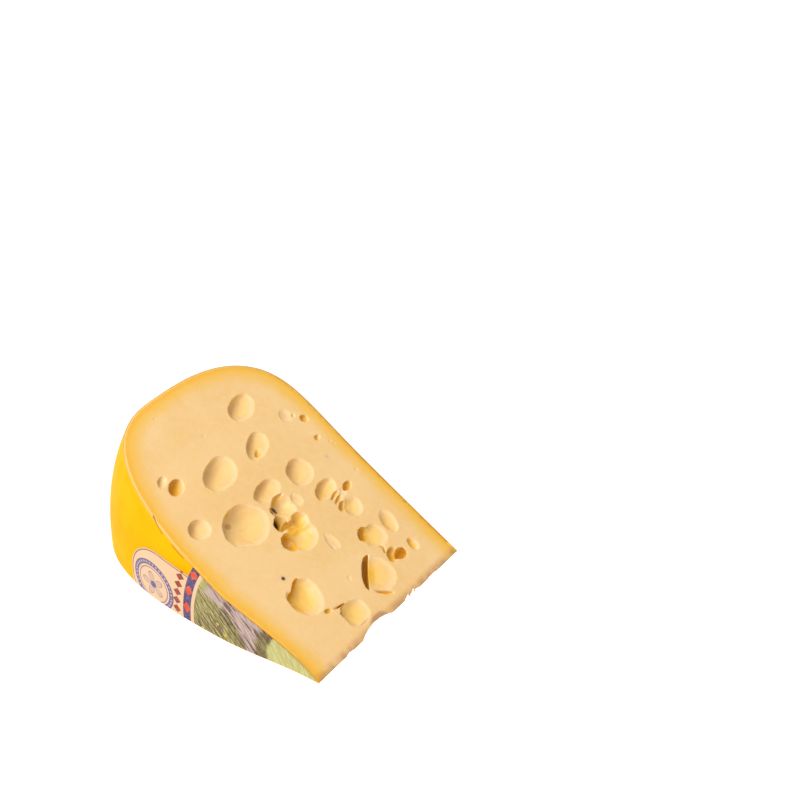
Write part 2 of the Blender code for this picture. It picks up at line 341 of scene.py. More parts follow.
class NodeSketch:
    """One material's node tree, written with short calls."""

    def __init__(self, name: str) -> None:
        """Start a material with an empty Principled surface.

        Args:
            name: The material's name.
        """
        self.material = bpy.data.materials.new(name)
        self.material.use_nodes = True
        self.tree = self.material.node_tree
        self.shader = self.tree.nodes["Principled BSDF"]
        self._position: Optional[bpy.types.NodeSocket] = None

    def node(self, kind: str, **settings: object) -> bpy.types.Node:
        """Add a node and set its own properties.

        Args:
            kind: The node's type after ShaderNode.
            **settings: The node's properties.

        Returns:
            The new node.
        """
        made = self.tree.nodes.new("ShaderNode" + kind)
        for key, value in settings.items():
            setattr(made, key, value)
        return made

    def feed(self, socket: bpy.types.NodeSocket, value: Feed) -> None:
        """Link a socket to another one, or set it to a constant.

        Args:
            socket: The socket that is fed.
            value: Another socket, or the constant.
        """
        if isinstance(value, bpy.types.NodeSocket):
            self.tree.links.new(value, socket)
        else:
            socket.default_value = value

    def math(self, operation: str, first: Feed, second: Feed = 0.0,
             third: Feed = 0.0) -> bpy.types.NodeSocket:
        """Return the result of a Math node.

        Args:
            operation: The node's operation.
            first: Its first value.
            second: Its second value.
            third: Its third value.

        Returns:
            The result's socket.
        """
        made = self.node("Math", operation=operation)
        for socket, value in zip(made.inputs, (first, second, third)):
            self.feed(socket, value)
        return made.outputs[0]

    def vector(self, operation: str, first: Feed, second: Feed) -> bpy.types.Node:
        """Add a Vector Math node.

        Args:
            operation: The node's operation.
            first: Its first vector.
            second: Its second vector.

        Returns:
            The node, whose output depends on the operation.
        """
        made = self.node("VectorMath", operation=operation)
        self.feed(made.inputs[0], first)
        self.feed(made.inputs[1], second)
        return made

    def length(self, first: Feed, second: Feed) -> bpy.types.NodeSocket:
        """Return the length of a line whose two runs are given."""
        squares = self.math("MULTIPLY_ADD", first, first, self.math("MULTIPLY", second, second))
        return self.math("SQRT", squares)

    def gap(self, value: Feed, middle: float) -> bpy.types.NodeSocket:
        """Return how far a value is from another one."""
        return self.math("ABSOLUTE", self.math("SUBTRACT", value, middle))

    def ease(self, value: Feed, low: float, high: float, to_low: float = 0.0,
             to_high: float = 1.0) -> bpy.types.NodeSocket:
        """Return a value eased smoothly from one range to another.

        Args:
            value: The value to map.
            low: Where the result is to_low.
            high: Where the result is to_high.
            to_low: The result at low.
            to_high: The result at high.

        Returns:
            The result's socket.
        """
        made = self.node("MapRange", interpolation_type="SMOOTHSTEP")
        keys = ("Value", "From Min", "From Max", "To Min", "To Max")
        for key, given in zip(keys, (value, low, high, to_low, to_high)):
            self.feed(made.inputs[key], given)
        return made.outputs["Result"]

    def blend(self, factor: Feed, first: Feed, second: Feed, kind: str = "MIX") -> bpy.types.NodeSocket:
        """Return two colours mixed by a factor.

        Args:
            factor: 0 for the first colour, 1 for the second.
            first: The first colour.
            second: The second colour.
            kind: How they mix.

        Returns:
            The mixed colour's socket.
        """
        made = self.node("Mix", data_type="RGBA", blend_type=kind)
        self.feed(made.inputs[0], factor)
        self.feed(made.inputs[6], first)
        self.feed(made.inputs[7], second)
        return made.outputs[2]

    def position(self) -> bpy.types.NodeSocket:
        """Find the point that is shaded, with one node for the whole material.

        Returns:
            The Object coordinates' socket, in metres.
        """
        if self._position is None:
            self._position = self.node("TexCoord").outputs["Object"]
        return self._position

    def scaled(self, scale: Sequence[float], turn: Sequence[float] = (0, 0, 0)) -> bpy.types.NodeSocket:
        """Return the Object coordinates turned and stretched.

        Args:
            scale: Scale along each axis.
            turn: Rotation in radians about each axis.

        Returns:
            The vector's socket.
        """
        made = self.node("Mapping", vector_type="TEXTURE")
        self.feed(made.inputs["Vector"], self.position())
        made.inputs["Rotation"].default_value = turn
        made.inputs["Scale"].default_value = [1 / part for part in scale]
        return made.outputs["Vector"]

    def noise(self, scale: float, detail: float = 2.0,
              vector: Optional[bpy.types.NodeSocket] = None) -> bpy.types.NodeSocket:
        """Return a noise value about 0.5.

        Args:
            scale: Noise features a metre, before any scaling of the vector.
            detail: Its finer octaves.
            vector: Where it is read; the Object coordinates if left out.

        Returns:
            The value's socket.
        """
        made = self.node("TexNoise")
        self.feed(made.inputs["Vector"], vector or self.position())
        made.inputs["Scale"].default_value = scale
        made.inputs["Detail"].default_value = detail
        return made.outputs["Fac"]

    def channel(self, channel: Channel) -> bpy.types.NodeSocket:
        """Return one of the paste's stored values."""
        return self.node("Attribute", attribute_name=channel.value).outputs["Fac"]

    def bump(self, height: Feed, strength: float, distance: float,
             under: Optional[bpy.types.NodeSocket] = None) -> bpy.types.NodeSocket:
        """Return a normal that follows a height.

        Args:
            height: The height, from 0 to 1.
            strength: How much of it shows.
            distance: The height's real size in metres.
            under: The normal that it is added to.

        Returns:
            The normal's socket.
        """
        made = self.node("Bump")
        made.inputs["Strength"].default_value = strength
        made.inputs["Distance"].default_value = distance
        self.feed(made.inputs["Height"], height)
        if under:
            self.feed(made.inputs["Normal"], under)
        return made.outputs["Normal"]

    def surface(self, **sockets: Feed) -> None:
        """Set the shader's sockets, named with underscores for their spaces."""
        for key, value in sockets.items():
            self.feed(self.shader.inputs[key.replace("_", " ")], value)


@dataclass(frozen=True)
class SpotMark:
    """A discoloured spot, with its place and sizes in millimetres.

    Attributes:
        r: Its distance from the tip edge.
        t: Its distance from the printed side.
        core: Radius of its dark middle.
        halo: Radius of the faint ring round it.
        strength: How much of the middle's colour shows.
        below: Its depth below the upper cut.
        colour: The middle's colour.
    """

    r: float
    t: float
    core: float
    halo: float
    strength: float
    below: float = 0.0
    colour: Colour = (0.075, 0.028, 0.006, 1)


@dataclass(frozen=True)
class NickMark:
    """A thin brown line where the coat has lifted beside the upper cut.

    Attributes:
        start: Its start as r, t and the depth below the cut, in millimetres.
        end: Its end, given likewise.
        width: Half its width in millimetres.
        colour: Its colour.
    """

    start: tuple[float, float, float]
    end: tuple[float, float, float]
    width: float = 0.3
    colour: Colour = (0.11, 0.04, 0.012, 1)

    def tint(self, sketch: NodeSketch, wheel: WheelForm, colour: Feed) -> bpy.types.NodeSocket:
        """Return a colour with the line drawn over it.

        Args:
            sketch: The material's node tree.
            wheel: The wheel's form, for the cut face's place.
            colour: What lies under the line.

        Returns:
            The colour's socket.
        """
        place = wheel.face_frame(CutFace.UPPER)
        start, end = (place @ (Vector((t, r, -below)) * MM) for r, t, below in (self.start, self.end))
        run = end - start
        from_start = sketch.vector("SUBTRACT", sketch.position(), start).outputs["Vector"]
        share = sketch.vector("DOT_PRODUCT", from_start, run / run.length_squared).outputs["Value"]
        share = sketch.math("MINIMUM", sketch.math("MAXIMUM", share, 0.0), 1.0)
        nearest = sketch.node("VectorMath", operation="SCALE")
        nearest.inputs[0].default_value = run
        sketch.feed(nearest.inputs["Scale"], share)
        away = sketch.vector("DISTANCE", from_start, nearest.outputs["Vector"]).outputs["Value"]
        wander = sketch.math("MULTIPLY_ADD", sketch.noise(700, 2), self.width * MM, -self.width / 2 * MM)
        away = sketch.math("ADD", away, wander)
        mask = sketch.ease(away, 0.6 * self.width * MM, 1.6 * self.width * MM, 0.9, 0.0)
        return sketch.blend(mask, colour, self.colour)


NICKS = (
    NickMark((122.5, 5.0, 0.0), (118.0, 3.2, 0.5)),
    NickMark((118.0, 3.2, 0.5), (112.5, 2.2, 2.0)),
    NickMark((104.5, 1.3, 1.5), (95.0, 0.6, 1.4)),
)


@dataclass(frozen=True)
class PasteFinish:
    """Cut cheese: creamy, faintly mottled, deeper yellow towards the rind."""

    wheel: WheelForm
    body: Colour = (0.84, 0.56, 0.25, 1)
    pale: Colour = (0.87, 0.60, 0.30, 1)
    deep: Colour = (0.81, 0.52, 0.205, 1)
    under_rind: Colour = (0.84, 0.475, 0.055, 1)
    near_coat: Colour = (0.84, 0.41, 0.03, 1)
    rind_edge_highlight: Colour = (0.85, 0.55, 0.22, 1)
    hollow_shade_gold: Colour = (0.88, 0.55, 0.13, 1)
    wall_shade_gold: Colour = (0.82, 0.48, 0.08, 1)
    wall_shade_brown: Colour = (0.66, 0.30, 0.015, 1)
    hole_shade_gold: Colour = (0.86, 0.47, 0.025, 1)
    hole_shade_brown: Colour = (0.52, 0.235, 0.004, 1)
    hole_shade_black: Colour = (0.045, 0.018, 0.004, 1)
    # Painted highlight at the eyes' lips.
    lip: Colour = (0.93, 0.68, 0.43, 1)
    dried_tan_and_shade: Colour = (0.44, 0.22, 0.08, 1)
    tip_edge_shade: Colour = (0.20, 0.13, 0.075, 1)
    halo: Colour = (0.66, 0.43, 0.30, 1)
    spots: tuple[SpotMark, ...] = (
        SpotMark(52.9, 34.8, 0.75, 3.4, 0.97),
        SpotMark(94.1, 36.4, 1.1, 0.1, 0.75, 5.3, (0.52, 0.25, 0.06, 1)),
        SpotMark(86.2, 64.9, 0.55, 1.2, 0.9, 5.3),
        SpotMark(84.9, 64.9, 0.8, 1.2, 0.95, 5.4),
        SpotMark(83.6, 64.7, 0.6, 1.2, 0.9, 5.1),
        SpotMark(89.2, 113.2, 0.25, 3.4, 0.35),
    )

    def spot_tint(self, sketch: NodeSketch, spot: SpotMark, colour: Feed) -> bpy.types.NodeSocket:
        """Return a colour with one spot over it.

        Args:
            sketch: The material's node tree.
            spot: The spot.
            colour: What lies under it.

        Returns:
            The colour's socket.
        """
        place = self.wheel.face_frame(CutFace.UPPER) @ (Vector((spot.t, spot.r, -spot.below)) * MM)
        away = sketch.vector("DISTANCE", sketch.position(), place).outputs["Value"]
        swing = 1.6 * spot.core * MM
        wander = sketch.math("MULTIPLY_ADD", sketch.noise(1100, 2), swing, -swing / 2)
        away = sketch.math("ADD", away, wander)
        around = sketch.ease(away, 0.0, spot.halo * MM, 0.4, 0.0)
        colour = sketch.blend(around, colour, self.halo)
        core = sketch.ease(away, spot.core * MM, 2 * spot.core * MM, spot.strength, 0.0)
        return sketch.blend(core, colour, spot.colour)

    def rind_tint(self, sketch: NodeSketch, colour: Feed) -> bpy.types.NodeSocket:
        """Return a colour that deepens under the coat, with a painted highlight as a pale line at the very
        edge.

        Args:
            sketch: The material's node tree.
            colour: The paste's colour away from the coat.

        Returns:
            The colour's socket.
        """
        depth = sketch.channel(Channel.RIND_DEPTH)
        uneven = sketch.math("MULTIPLY_ADD", sketch.noise(60, 3), 6 * MM, -3 * MM)
        wandering = sketch.math("ADD", depth, uneven)
        colour = sketch.blend(sketch.ease(wandering, 1.5 * MM, 13 * MM, 0.95, 0.0), colour, self.under_rind)
        colour = sketch.blend(sketch.ease(depth, 0.8 * MM, 4.5 * MM, 0.6, 0.0), colour, self.near_coat)
        # Painted highlight: a pale line along the paste's edge against the coat.
        skin = sketch.math("MULTIPLY", sketch.ease(depth, 0.4 * MM, 0.9 * MM, 0.8, 0.0),
                           sketch.ease(sketch.channel(Channel.TIP_DISTANCE), 88 * MM, 100 * MM))
        return sketch.blend(skin, colour, self.rind_edge_highlight)

    def eye_tint(self, sketch: NodeSketch, colour: Feed) -> bpy.types.NodeSocket:
        """Return a colour with painted shade in eyes, golden and browner in narrow ones, and a painted
        highlight at lips.

        Args:
            sketch: The material's node tree.
            colour: The paste's colour on the flat cut.

        Returns:
            The colour's socket.
        """
        hollow = sketch.channel(Channel.HOLLOW)
        # Painted shade: eye floors turn deeper gold the deeper they lie, more so near the tip.
        near_tip = sketch.ease(sketch.channel(Channel.TIP_DISTANCE), 68 * MM, 92 * MM, 0.75, 0.25)
        golden = sketch.math("MULTIPLY", near_tip, sketch.ease(hollow, 0.3 * MM, 3 * MM))
        colour = sketch.blend(golden, colour, self.hollow_shade_gold)
        # Painted highlight: a pale ring just inside each eye's lip.
        lip = sketch.math("MULTIPLY", sketch.ease(hollow, 0.2 * MM, 0.4 * MM),
                          sketch.ease(hollow, 0.5 * MM, 1.4 * MM, 0.35, 0.0))
        colour = sketch.blend(lip, colour, self.lip)
        # Painted shade: walls under the steep lip turn gold, and brown where they face back most.
        steep = sketch.channel(Channel.WALL_SHADE)
        below_lip = sketch.ease(hollow, 0.3 * MM, 1.0 * MM)
        wall = sketch.math("MULTIPLY", sketch.ease(steep, 0.25, 0.6, 0.0, 0.8), below_lip)
        colour = sketch.blend(wall, colour, self.wall_shade_gold)
        wall = sketch.math("MULTIPLY", sketch.ease(steep, 0.6, 0.85, 0.0, 0.9), below_lip)
        colour = sketch.blend(wall, colour, self.wall_shade_brown)
        # Painted shade: floors of deep, narrow eyes turn gold, brown and nearly black.
        dark = sketch.channel(Channel.HOLE_SHADE)
        colour = sketch.blend(sketch.ease(dark, 0.3, 1.0, 0.0, 0.9), colour, self.hole_shade_gold)
        colour = sketch.blend(sketch.ease(dark, 1.0, 2.0, 0.0, 0.9), colour, self.hole_shade_brown)
        return sketch.blend(sketch.ease(dark, 2.1, 2.9, 0.0, 0.95), colour, self.hole_shade_black)

    def tip_tint(self, sketch: NodeSketch, colour: Feed) -> bpy.types.NodeSocket:
        """Return a colour that is tan near the thin tip edge and in its bite, partly dried paste and partly
        painted shade, with brown painted shade along the very edge.

        Args:
            sketch: The material's node tree.
            colour: The paste's colour away from the tip edge.

        Returns:
            The colour's socket.
        """
        tip = sketch.channel(Channel.TIP_DISTANCE)
        patches = sketch.ease(sketch.noise(150, 3), 0.25, 0.65, 0.35, 1.0)
        # Partly dried paste and partly painted shade on the thin edge.
        tan = sketch.math("MULTIPLY", patches, sketch.ease(tip, 0.8 * MM, 6 * MM, 0.8, 0.0))
        colour = sketch.blend(tan, colour, self.dried_tan_and_shade)
        # Painted shade in the bite's hollow, partly dried paste.
        notch = sketch.math("MULTIPLY", sketch.ease(tip, 6.5 * MM, 8 * MM, 0.75, 0.0),
                            sketch.ease(sketch.channel(Channel.HOLLOW), 0.2 * MM, 0.8 * MM))
        colour = sketch.blend(notch, colour, self.dried_tan_and_shade)
        # Painted shade: a brown line along the very edge.
        edge = sketch.math("MULTIPLY", patches, sketch.ease(tip, 0.2 * MM, 1.2 * MM, 0.5, 0.0))
        return sketch.blend(edge, colour, self.tip_edge_shade)

    def material(self) -> bpy.types.Material:
        """Mix the finish from the mottled body outwards to its marks.

        Returns:
            The paste's material.
        """
        sketch = NodeSketch("cut_paste")
        clouds = sketch.ease(sketch.noise(28, 3), 0.35, 0.68)
        grain = sketch.ease(sketch.noise(260, 3), 0.3, 0.75, 0.0, 0.35)
        colour = sketch.blend(clouds, self.deep, self.body)
        colour = sketch.blend(grain, colour, self.pale)
        colour = self.rind_tint(sketch, colour)
        colour = self.eye_tint(sketch, colour)
        colour = self.tip_tint(sketch, colour)
        for spot in self.spots:
            colour = self.spot_tint(sketch, spot, colour)
        for nick in NICKS:
            colour = nick.tint(sketch, self.wheel, colour)
        fine = sketch.bump(sketch.noise(2200, 4), 0.35, 0.12 * MM)
        soft = sketch.bump(sketch.noise(420, 3), 0.4, 0.25 * MM, fine)
        inside = sketch.ease(sketch.channel(Channel.HOLLOW), 0.3 * MM, 1.5 * MM, 0.0, 0.2)
        roughness = sketch.math("SUBTRACT", sketch.ease(sketch.noise(150, 3), 0.3, 0.7, 0.46, 0.58), inside)
        sketch.surface(
            Base_Color=colour,
            Roughness=roughness,
            Normal=soft,
            Subsurface_Weight=0.25,
            Subsurface_Radius=(1.0, 0.6, 0.18),
            Subsurface_Scale=2.2 * MM,
            IOR=WAX_IOR,
        )
        return sketch.material


@dataclass(frozen=True)
class CoatFinish:
    """The rind's bright yellow coating: glossy, brushed on, with a painted highlight along its cut edges.
    """

    wheel: WheelForm
    body: Colour = (0.78, 0.335, 0.0005, 1)
    thin: Colour = (0.80, 0.365, 0.002, 1)
    thick: Colour = (0.74, 0.27, 0.0, 1)
    cut_edge_highlight: Colour = (0.76, 0.47, 0.22, 1)

    def material(self) -> bpy.types.Material:
        """Mix the finish from its brushed body to the painted highlight on its cut edges, and its nicks.

        Returns:
            The coat's material.
        """
        sketch = NodeSketch("yellow_coat")
        broad = sketch.ease(sketch.noise(22, 3), 0.3, 0.7)
        brushed = sketch.noise(60, 4, sketch.scaled((1, 5, 1)))
        colour = sketch.blend(broad, self.thin, self.body)
        colour = sketch.blend(sketch.ease(brushed, 0.5, 0.8, 0.0, 0.5), colour, self.thick)
        split = sketch.node("SeparateXYZ")
        sketch.feed(split.inputs[0], sketch.position())
        # Deeper orange towards the floor.
        low = sketch.math("MULTIPLY", sketch.ease(split.outputs["Z"], 8 * MM, 45 * MM, 0.8, 0.0), broad)
        colour = sketch.blend(low, colour, self.thick)
        # Painted highlight: a pale line along the coat's cut edges, stronger towards the rim.
        outwards = self.wheel.face_frame(CutFace.UPPER).col[2].xyz
        level = sketch.vector("DOT_PRODUCT", sketch.position(), outwards).outputs["Value"]
        under = sketch.math("SUBTRACT", self.wheel.tip_x * outwards.x, level)
        rim = sketch.math("MINIMUM", under, split.outputs["Z"])
        from_tip = sketch.math("SUBTRACT", self.wheel.tip_x, split.outputs["X"])
        highlight_reach = sketch.ease(from_tip, 80 * MM, 95 * MM, 0.2, 0.65)
        rim = sketch.math("MULTIPLY", sketch.ease(rim, 0.12 * MM, 0.5 * MM, 1.0, 0.0), highlight_reach)
        colour = sketch.blend(rim, colour, self.cut_edge_highlight)
        for nick in NICKS:
            colour = nick.tint(sketch, self.wheel, colour)
        ripple = sketch.bump(sketch.noise(160, 3), 0.35, 0.3 * MM)
        pores = sketch.bump(sketch.noise(1300, 3), 0.25, 0.1 * MM, ripple)
        sketch.surface(
            Base_Color=colour,
            Roughness=sketch.ease(brushed, 0.3, 0.75, 0.32, 0.42),
            Normal=pores,
            Specular_IOR_Level=0.005,
            IOR=WAX_IOR,
        )
        return sketch.material


@dataclass(frozen=True)
class TongueShape:
    """The label's tongue towards the rim, in millimetres from the tip edge.

    Attributes:
        angle: How far it points up from the floor.
        half_width: Half its width.
        round_start: Where its round end begins.
        end: Where it ends.
    """

    angle: float = math.radians(5.5)
    half_width: float = 26.0
    round_start: float = 106.0
    end: float = 130.0


@dataclass(frozen=True)
class SheetPlace:
    """Where a point lies on the sheet, in millimetres and as an angle.

    Attributes:
        across: Level distance from the tip edge.
        up: Height above the floor.
        radius: Straight distance from the tip edge.
        angle: Angle above the floor, seen from the tip edge.
    """

    across: bpy.types.NodeSocket
    up: bpy.types.NodeSocket
    radius: bpy.types.NodeSocket
    angle: bpy.types.NodeSocket


@dataclass(frozen=True)
class PrintFinish:
    """A generic pasture pattern, a lozenge border and a flower badge, all plain print.

    Lengths are in millimetres on the sheet. A disc is given by its centre, as level
    distance from the tip edge and height, and its radius.
    """

    wheel: WheelForm
    tongue: TongueShape
    disc_radius: float = DISC_RADIUS
    border_inner: float = 82.5
    meadow_edge: float = 80.3
    near_hill: Disc = (4.0, 2.0, 28.0)
    rear_hill: Disc = (78.0, -4.0, 33.0)
    far_field: Disc = (84.0, 40.0, 17.0)
    hedge_row: Disc = (6.0, 4.0, 33.0)
    blossoms_a_metre: float = 105.0
    lozenge_step: float = 7.0
    lozenge_length: float = 4.2
    lozenge_start: float = 4.0
    line_inset: float = 0.9
    leaf_radius: float = 92.6
    leaf_step: float = 3.2
    leaf_size: float = 3.0
    badge_place: tuple[float, float] = (111.0, 0.5)
    badge_radius: float = 14.3
    dash_step: float = 1.3
    thin_ring_radius: float = 11.2
    petal_length: float = 6.5
    flower_middle: float = 1.8
    repeat_start: float = 100.0
    lime: Colour = (0.38, 0.35, 0.11, 1)
    pale_lime: Colour = (0.47, 0.45, 0.19, 1)
    meadow: Colour = (0.20, 0.175, 0.055, 1)
    hedge: Colour = (0.12, 0.09, 0.03, 1)
    stroke: Colour = (0.055, 0.028, 0.016, 1)
    lilac: Colour = (0.30, 0.215, 0.215, 1)
    mist: Colour = (0.48, 0.36, 0.28, 1)
    cream: Colour = (0.62, 0.405, 0.24, 1)
    blue: Colour = (0.055, 0.033, 0.12, 1)
    badge_blue: Colour = (0.085, 0.07, 0.19, 1)
    red: Colour = (0.52, 0.05, 0.016, 1)
    dark_red: Colour = (0.24, 0.026, 0.012, 1)
    outline: Colour = (0.09, 0.03, 0.02, 1)
    flower: Colour = (0.50, 0.31, 0.03, 1)

    def material(self) -> bpy.types.Material:
        """Mix the finish from the pasture outwards to the border and the tongue.

        Returns:
            The printed sheet's material.
        """
        sketch = NodeSketch("printed_sheet")
        split = sketch.node("SeparateXYZ")
        sketch.feed(split.inputs[0], sketch.position())
        across = sketch.math("MULTIPLY_ADD", split.outputs["X"], -1 / MM, self.wheel.tip_x / MM)
        up = sketch.math("MULTIPLY", split.outputs["Z"], 1 / MM)
        place = SheetPlace(across, up, sketch.length(across, up), sketch.math("ARCTAN2", up, across))
        edge = sketch.ease(place.radius, self.meadow_edge - 0.2, self.meadow_edge + 0.2)
        colour = sketch.blend(edge, self.pasture(sketch, place), self.cream)
        colour = self.border(sketch, colour, place)
        colour = self.tongue_print(sketch, colour, place)
        wear = sketch.ease(sketch.noise(900, 4), 0.3, 0.72, 0.0, 0.2)
        colour = sketch.blend(wear, colour, self.mist)
        ripple = sketch.bump(sketch.noise(160, 3), 0.3, 0.25 * MM)
        fibre = sketch.bump(sketch.noise(1500, 3), 0.2, 0.08 * MM, ripple)
        sketch.surface(
            Base_Color=colour,
            Roughness=sketch.ease(sketch.noise(200, 3), 0.3, 0.7, 0.34, 0.46),
            Normal=fibre,
            Specular_IOR_Level=0.05,
            IOR=WAX_IOR,
        )
        return sketch.material

    def disc_mask(self, sketch: NodeSketch, across: Feed, up: Feed, disc: Disc,
                  soft: float) -> bpy.types.NodeSocket:
        """Return 1 inside a circle on the sheet and 0 outside.

        Args:
            sketch: The material's node tree.
            across: Distance from the tip edge in millimetres.
            up: Height above the floor in millimetres.
            disc: The circle's centre in those coordinates, and its radius.
            soft: Half the width of its soft edge.

        Returns:
            The mask's socket.
        """
        side = sketch.math("SUBTRACT", across, disc[0])
        rise = sketch.math("SUBTRACT", up, disc[1])
        return sketch.ease(sketch.length(side, rise), disc[2] - soft, disc[2] + soft, 1.0, 0.0)

    def pasture(self, sketch: NodeSketch, place: SheetPlace) -> bpy.types.NodeSocket:
        """Return the rolling fields inside the border, drawn in coloured strokes.

        Args:
            sketch: The material's node tree.
            place: Where the point lies.

        Returns:
            The colour's socket.
        """
        sway = sketch.math("MULTIPLY_ADD", sketch.noise(90, 3), 7.0, -3.5)
        across = sketch.math("ADD", place.across, sway)
        up = sketch.math("MULTIPLY_ADD", sway, 0.6, place.up)
        strokes = sketch.noise(300, 4, sketch.scaled((0.5, 1, 4), (0, math.radians(62), 0)))
        lines = sketch.noise(800, 1, sketch.scaled((0.06, 1, 1), (0, math.radians(48), 0)))
        colour = sketch.blend(sketch.ease(strokes, 0.35, 0.7), self.lilac, self.mist)
        blades = sketch.ease(strokes, 0.44, 0.58)
        near_hill = self.disc_mask(sketch, across, up, self.near_hill, 1.0)
        rear_hill = self.disc_mask(sketch, across, up, self.rear_hill, 1.0)
        far_field = self.disc_mask(sketch, across, up, self.far_field, 1.2)
        hedge_row = self.disc_mask(sketch, across, up, self.hedge_row, 2.0)
        colour = sketch.blend(hedge_row, colour, sketch.blend(blades, self.hedge, self.meadow))
        colour = sketch.blend(near_hill, colour, sketch.blend(blades, self.lime, self.pale_lime))
        colour = sketch.blend(far_field, colour, sketch.blend(blades, self.meadow, self.lime))
        furrows = sketch.blend(sketch.ease(strokes, 0.36, 0.66), self.hedge, self.lime)
        colour = sketch.blend(rear_hill, colour, furrows)
        open_land = sketch.math("SUBTRACT", 1.0, near_hill)
        dark = sketch.math("MULTIPLY", sketch.ease(lines, 0.54, 0.60, 0.0, 0.85), open_land)
        colour = sketch.blend(dark, colour, self.stroke)
        dots = sketch.node("TexVoronoi", feature="F1")
        sketch.feed(dots.inputs["Vector"], sketch.position())
        dots.inputs["Scale"].default_value = self.blossoms_a_metre
        blossom = sketch.ease(dots.outputs["Distance"], 0.10, 0.15, 1.0, 0.0)
        blossom = sketch.math("MULTIPLY", blossom, sketch.math("MAXIMUM", rear_hill, far_field))
        return sketch.blend(blossom, colour, self.flower)

    def border(self, sketch: NodeSketch, colour: Feed, place: SheetPlace) -> bpy.types.NodeSocket:
        """Return the colour with the band of red lozenges on blue.

        Args:
            sketch: The material's node tree.
            colour: What lies under the band.
            place: Where the point lies.

        Returns:
            The colour's socket.
        """
        middle = (self.border_inner + self.disc_radius) / 2
        half = (self.disc_radius - self.border_inner) / 2
        inside = sketch.gap(place.radius, middle)
        band = sketch.ease(inside, half - 0.15, half + 0.15, 1.0, 0.0)
        along = sketch.math("MULTIPLY_ADD", place.angle, middle, self.lozenge_start)
        spot = sketch.math("PINGPONG", along, self.lozenge_step)
        lozenge = sketch.math("ADD", sketch.math("DIVIDE", spot, self.lozenge_length),
                              sketch.math("DIVIDE", inside, half))
        ground = sketch.blend(sketch.ease(lozenge, 0.95, 1.05, 1.0, 0.0), self.blue, self.red)
        return sketch.blend(band, colour, ground)

    def tongue_print(self, sketch: NodeSketch, colour: Feed, place: SheetPlace) -> bpy.types.NodeSocket:
        """Return the colour with the cream tongue, its outline, its leaves and badge.

        Args:
            sketch: The material's node tree.
            colour: What lies inside the border.
            place: Where the point lies.

        Returns:
            The colour's socket.
        """
        shape = self.tongue
        cos, sin = math.cos(shape.angle), math.sin(shape.angle)
        out = sketch.math("MULTIPLY_ADD", place.up, sin, sketch.math("MULTIPLY", place.across, cos))
        side = sketch.math("MULTIPLY_ADD", place.across, -sin, sketch.math("MULTIPLY", place.up, cos))
        past = sketch.math("MAXIMUM", sketch.math("SUBTRACT", out, shape.round_start), 0.0)
        past = sketch.math("DIVIDE", past, shape.end - shape.round_start)
        reach = sketch.length(past, sketch.math("DIVIDE", side, shape.half_width))
        edge = sketch.math("MULTIPLY_ADD", reach, -shape.half_width, shape.half_width)
        line = sketch.ease(sketch.gap(edge, self.line_inset), 0.25, 0.5, 0.85, 0.0)
        inside = sketch.blend(line, self.cream, self.outline)
        inside = self.badge(sketch, inside, sketch.math("SUBTRACT", out, self.badge_place[0]),
                            sketch.math("SUBTRACT", side, self.badge_place[1]))
        step = sketch.math("PINGPONG", sketch.math("ADD", side, self.repeat_start), self.leaf_step)
        from_row = sketch.gap(place.radius, self.leaf_radius)
        leaf = sketch.math("ADD", sketch.math("DIVIDE", step, self.leaf_size),
                           sketch.math("DIVIDE", from_row, self.leaf_size))
        inside = sketch.blend(sketch.ease(leaf, 0.9, 1.05, 1.0, 0.0), inside, self.dark_red)
        beyond = sketch.ease(place.radius, self.disc_radius - 0.05, self.disc_radius + 0.05)
        return sketch.blend(beyond, colour, inside)

    def badge(self, sketch: NodeSketch, colour: Feed, out: Feed, side: Feed) -> bpy.types.NodeSocket:
        """Return the colour with a flower in a dashed ring.

        Args:
            sketch: The material's node tree.
            colour: What lies under the badge.
            out: Distance from the badge's centre towards the rim, in millimetres.
            side: Distance from its centre across the tongue.

        Returns:
            The colour's socket.
        """
        away = sketch.length(out, side)
        turn = sketch.math("ARCTAN2", side, out)
        ring = sketch.ease(sketch.gap(away, self.badge_radius), 1.5, 1.8, 1.0, 0.0)
        colour = sketch.blend(ring, colour, self.badge_blue)
        round_ring = sketch.math("MULTIPLY_ADD", turn, self.badge_radius, self.repeat_start)
        dash = sketch.math("PINGPONG", round_ring, self.dash_step)
        dash = sketch.math("MULTIPLY", sketch.ease(dash, 0.5, 0.9, 0.75, 0.0),
                           sketch.ease(sketch.gap(away, self.badge_radius), 0.5, 0.8, 1.0, 0.0))
        colour = sketch.blend(dash, colour, self.mist)
        thin_ring = sketch.ease(sketch.gap(away, self.thin_ring_radius), 0.25, 0.5, 0.8, 0.0)
        colour = sketch.blend(thin_ring, colour, self.badge_blue)
        petal = sketch.math("ABSOLUTE", sketch.math("COSINE", sketch.math("MULTIPLY", turn, 2.5)))
        petal = sketch.math("MULTIPLY_ADD", petal, self.petal_length, self.flower_middle)
        rim = sketch.math("SUBTRACT", away, petal)
        colour = sketch.blend(sketch.ease(rim, -0.3, 0.3, 0.45, 0.0), colour, self.lilac)
        petal_line = sketch.ease(sketch.gap(rim, 0.0), 0.2, 0.45, 0.8, 0.0)
        colour = sketch.blend(petal_line, colour, self.badge_blue)
        return sketch.blend(sketch.ease(away, 2.0, 2.5, 1.0, 0.0), colour, self.badge_blue)


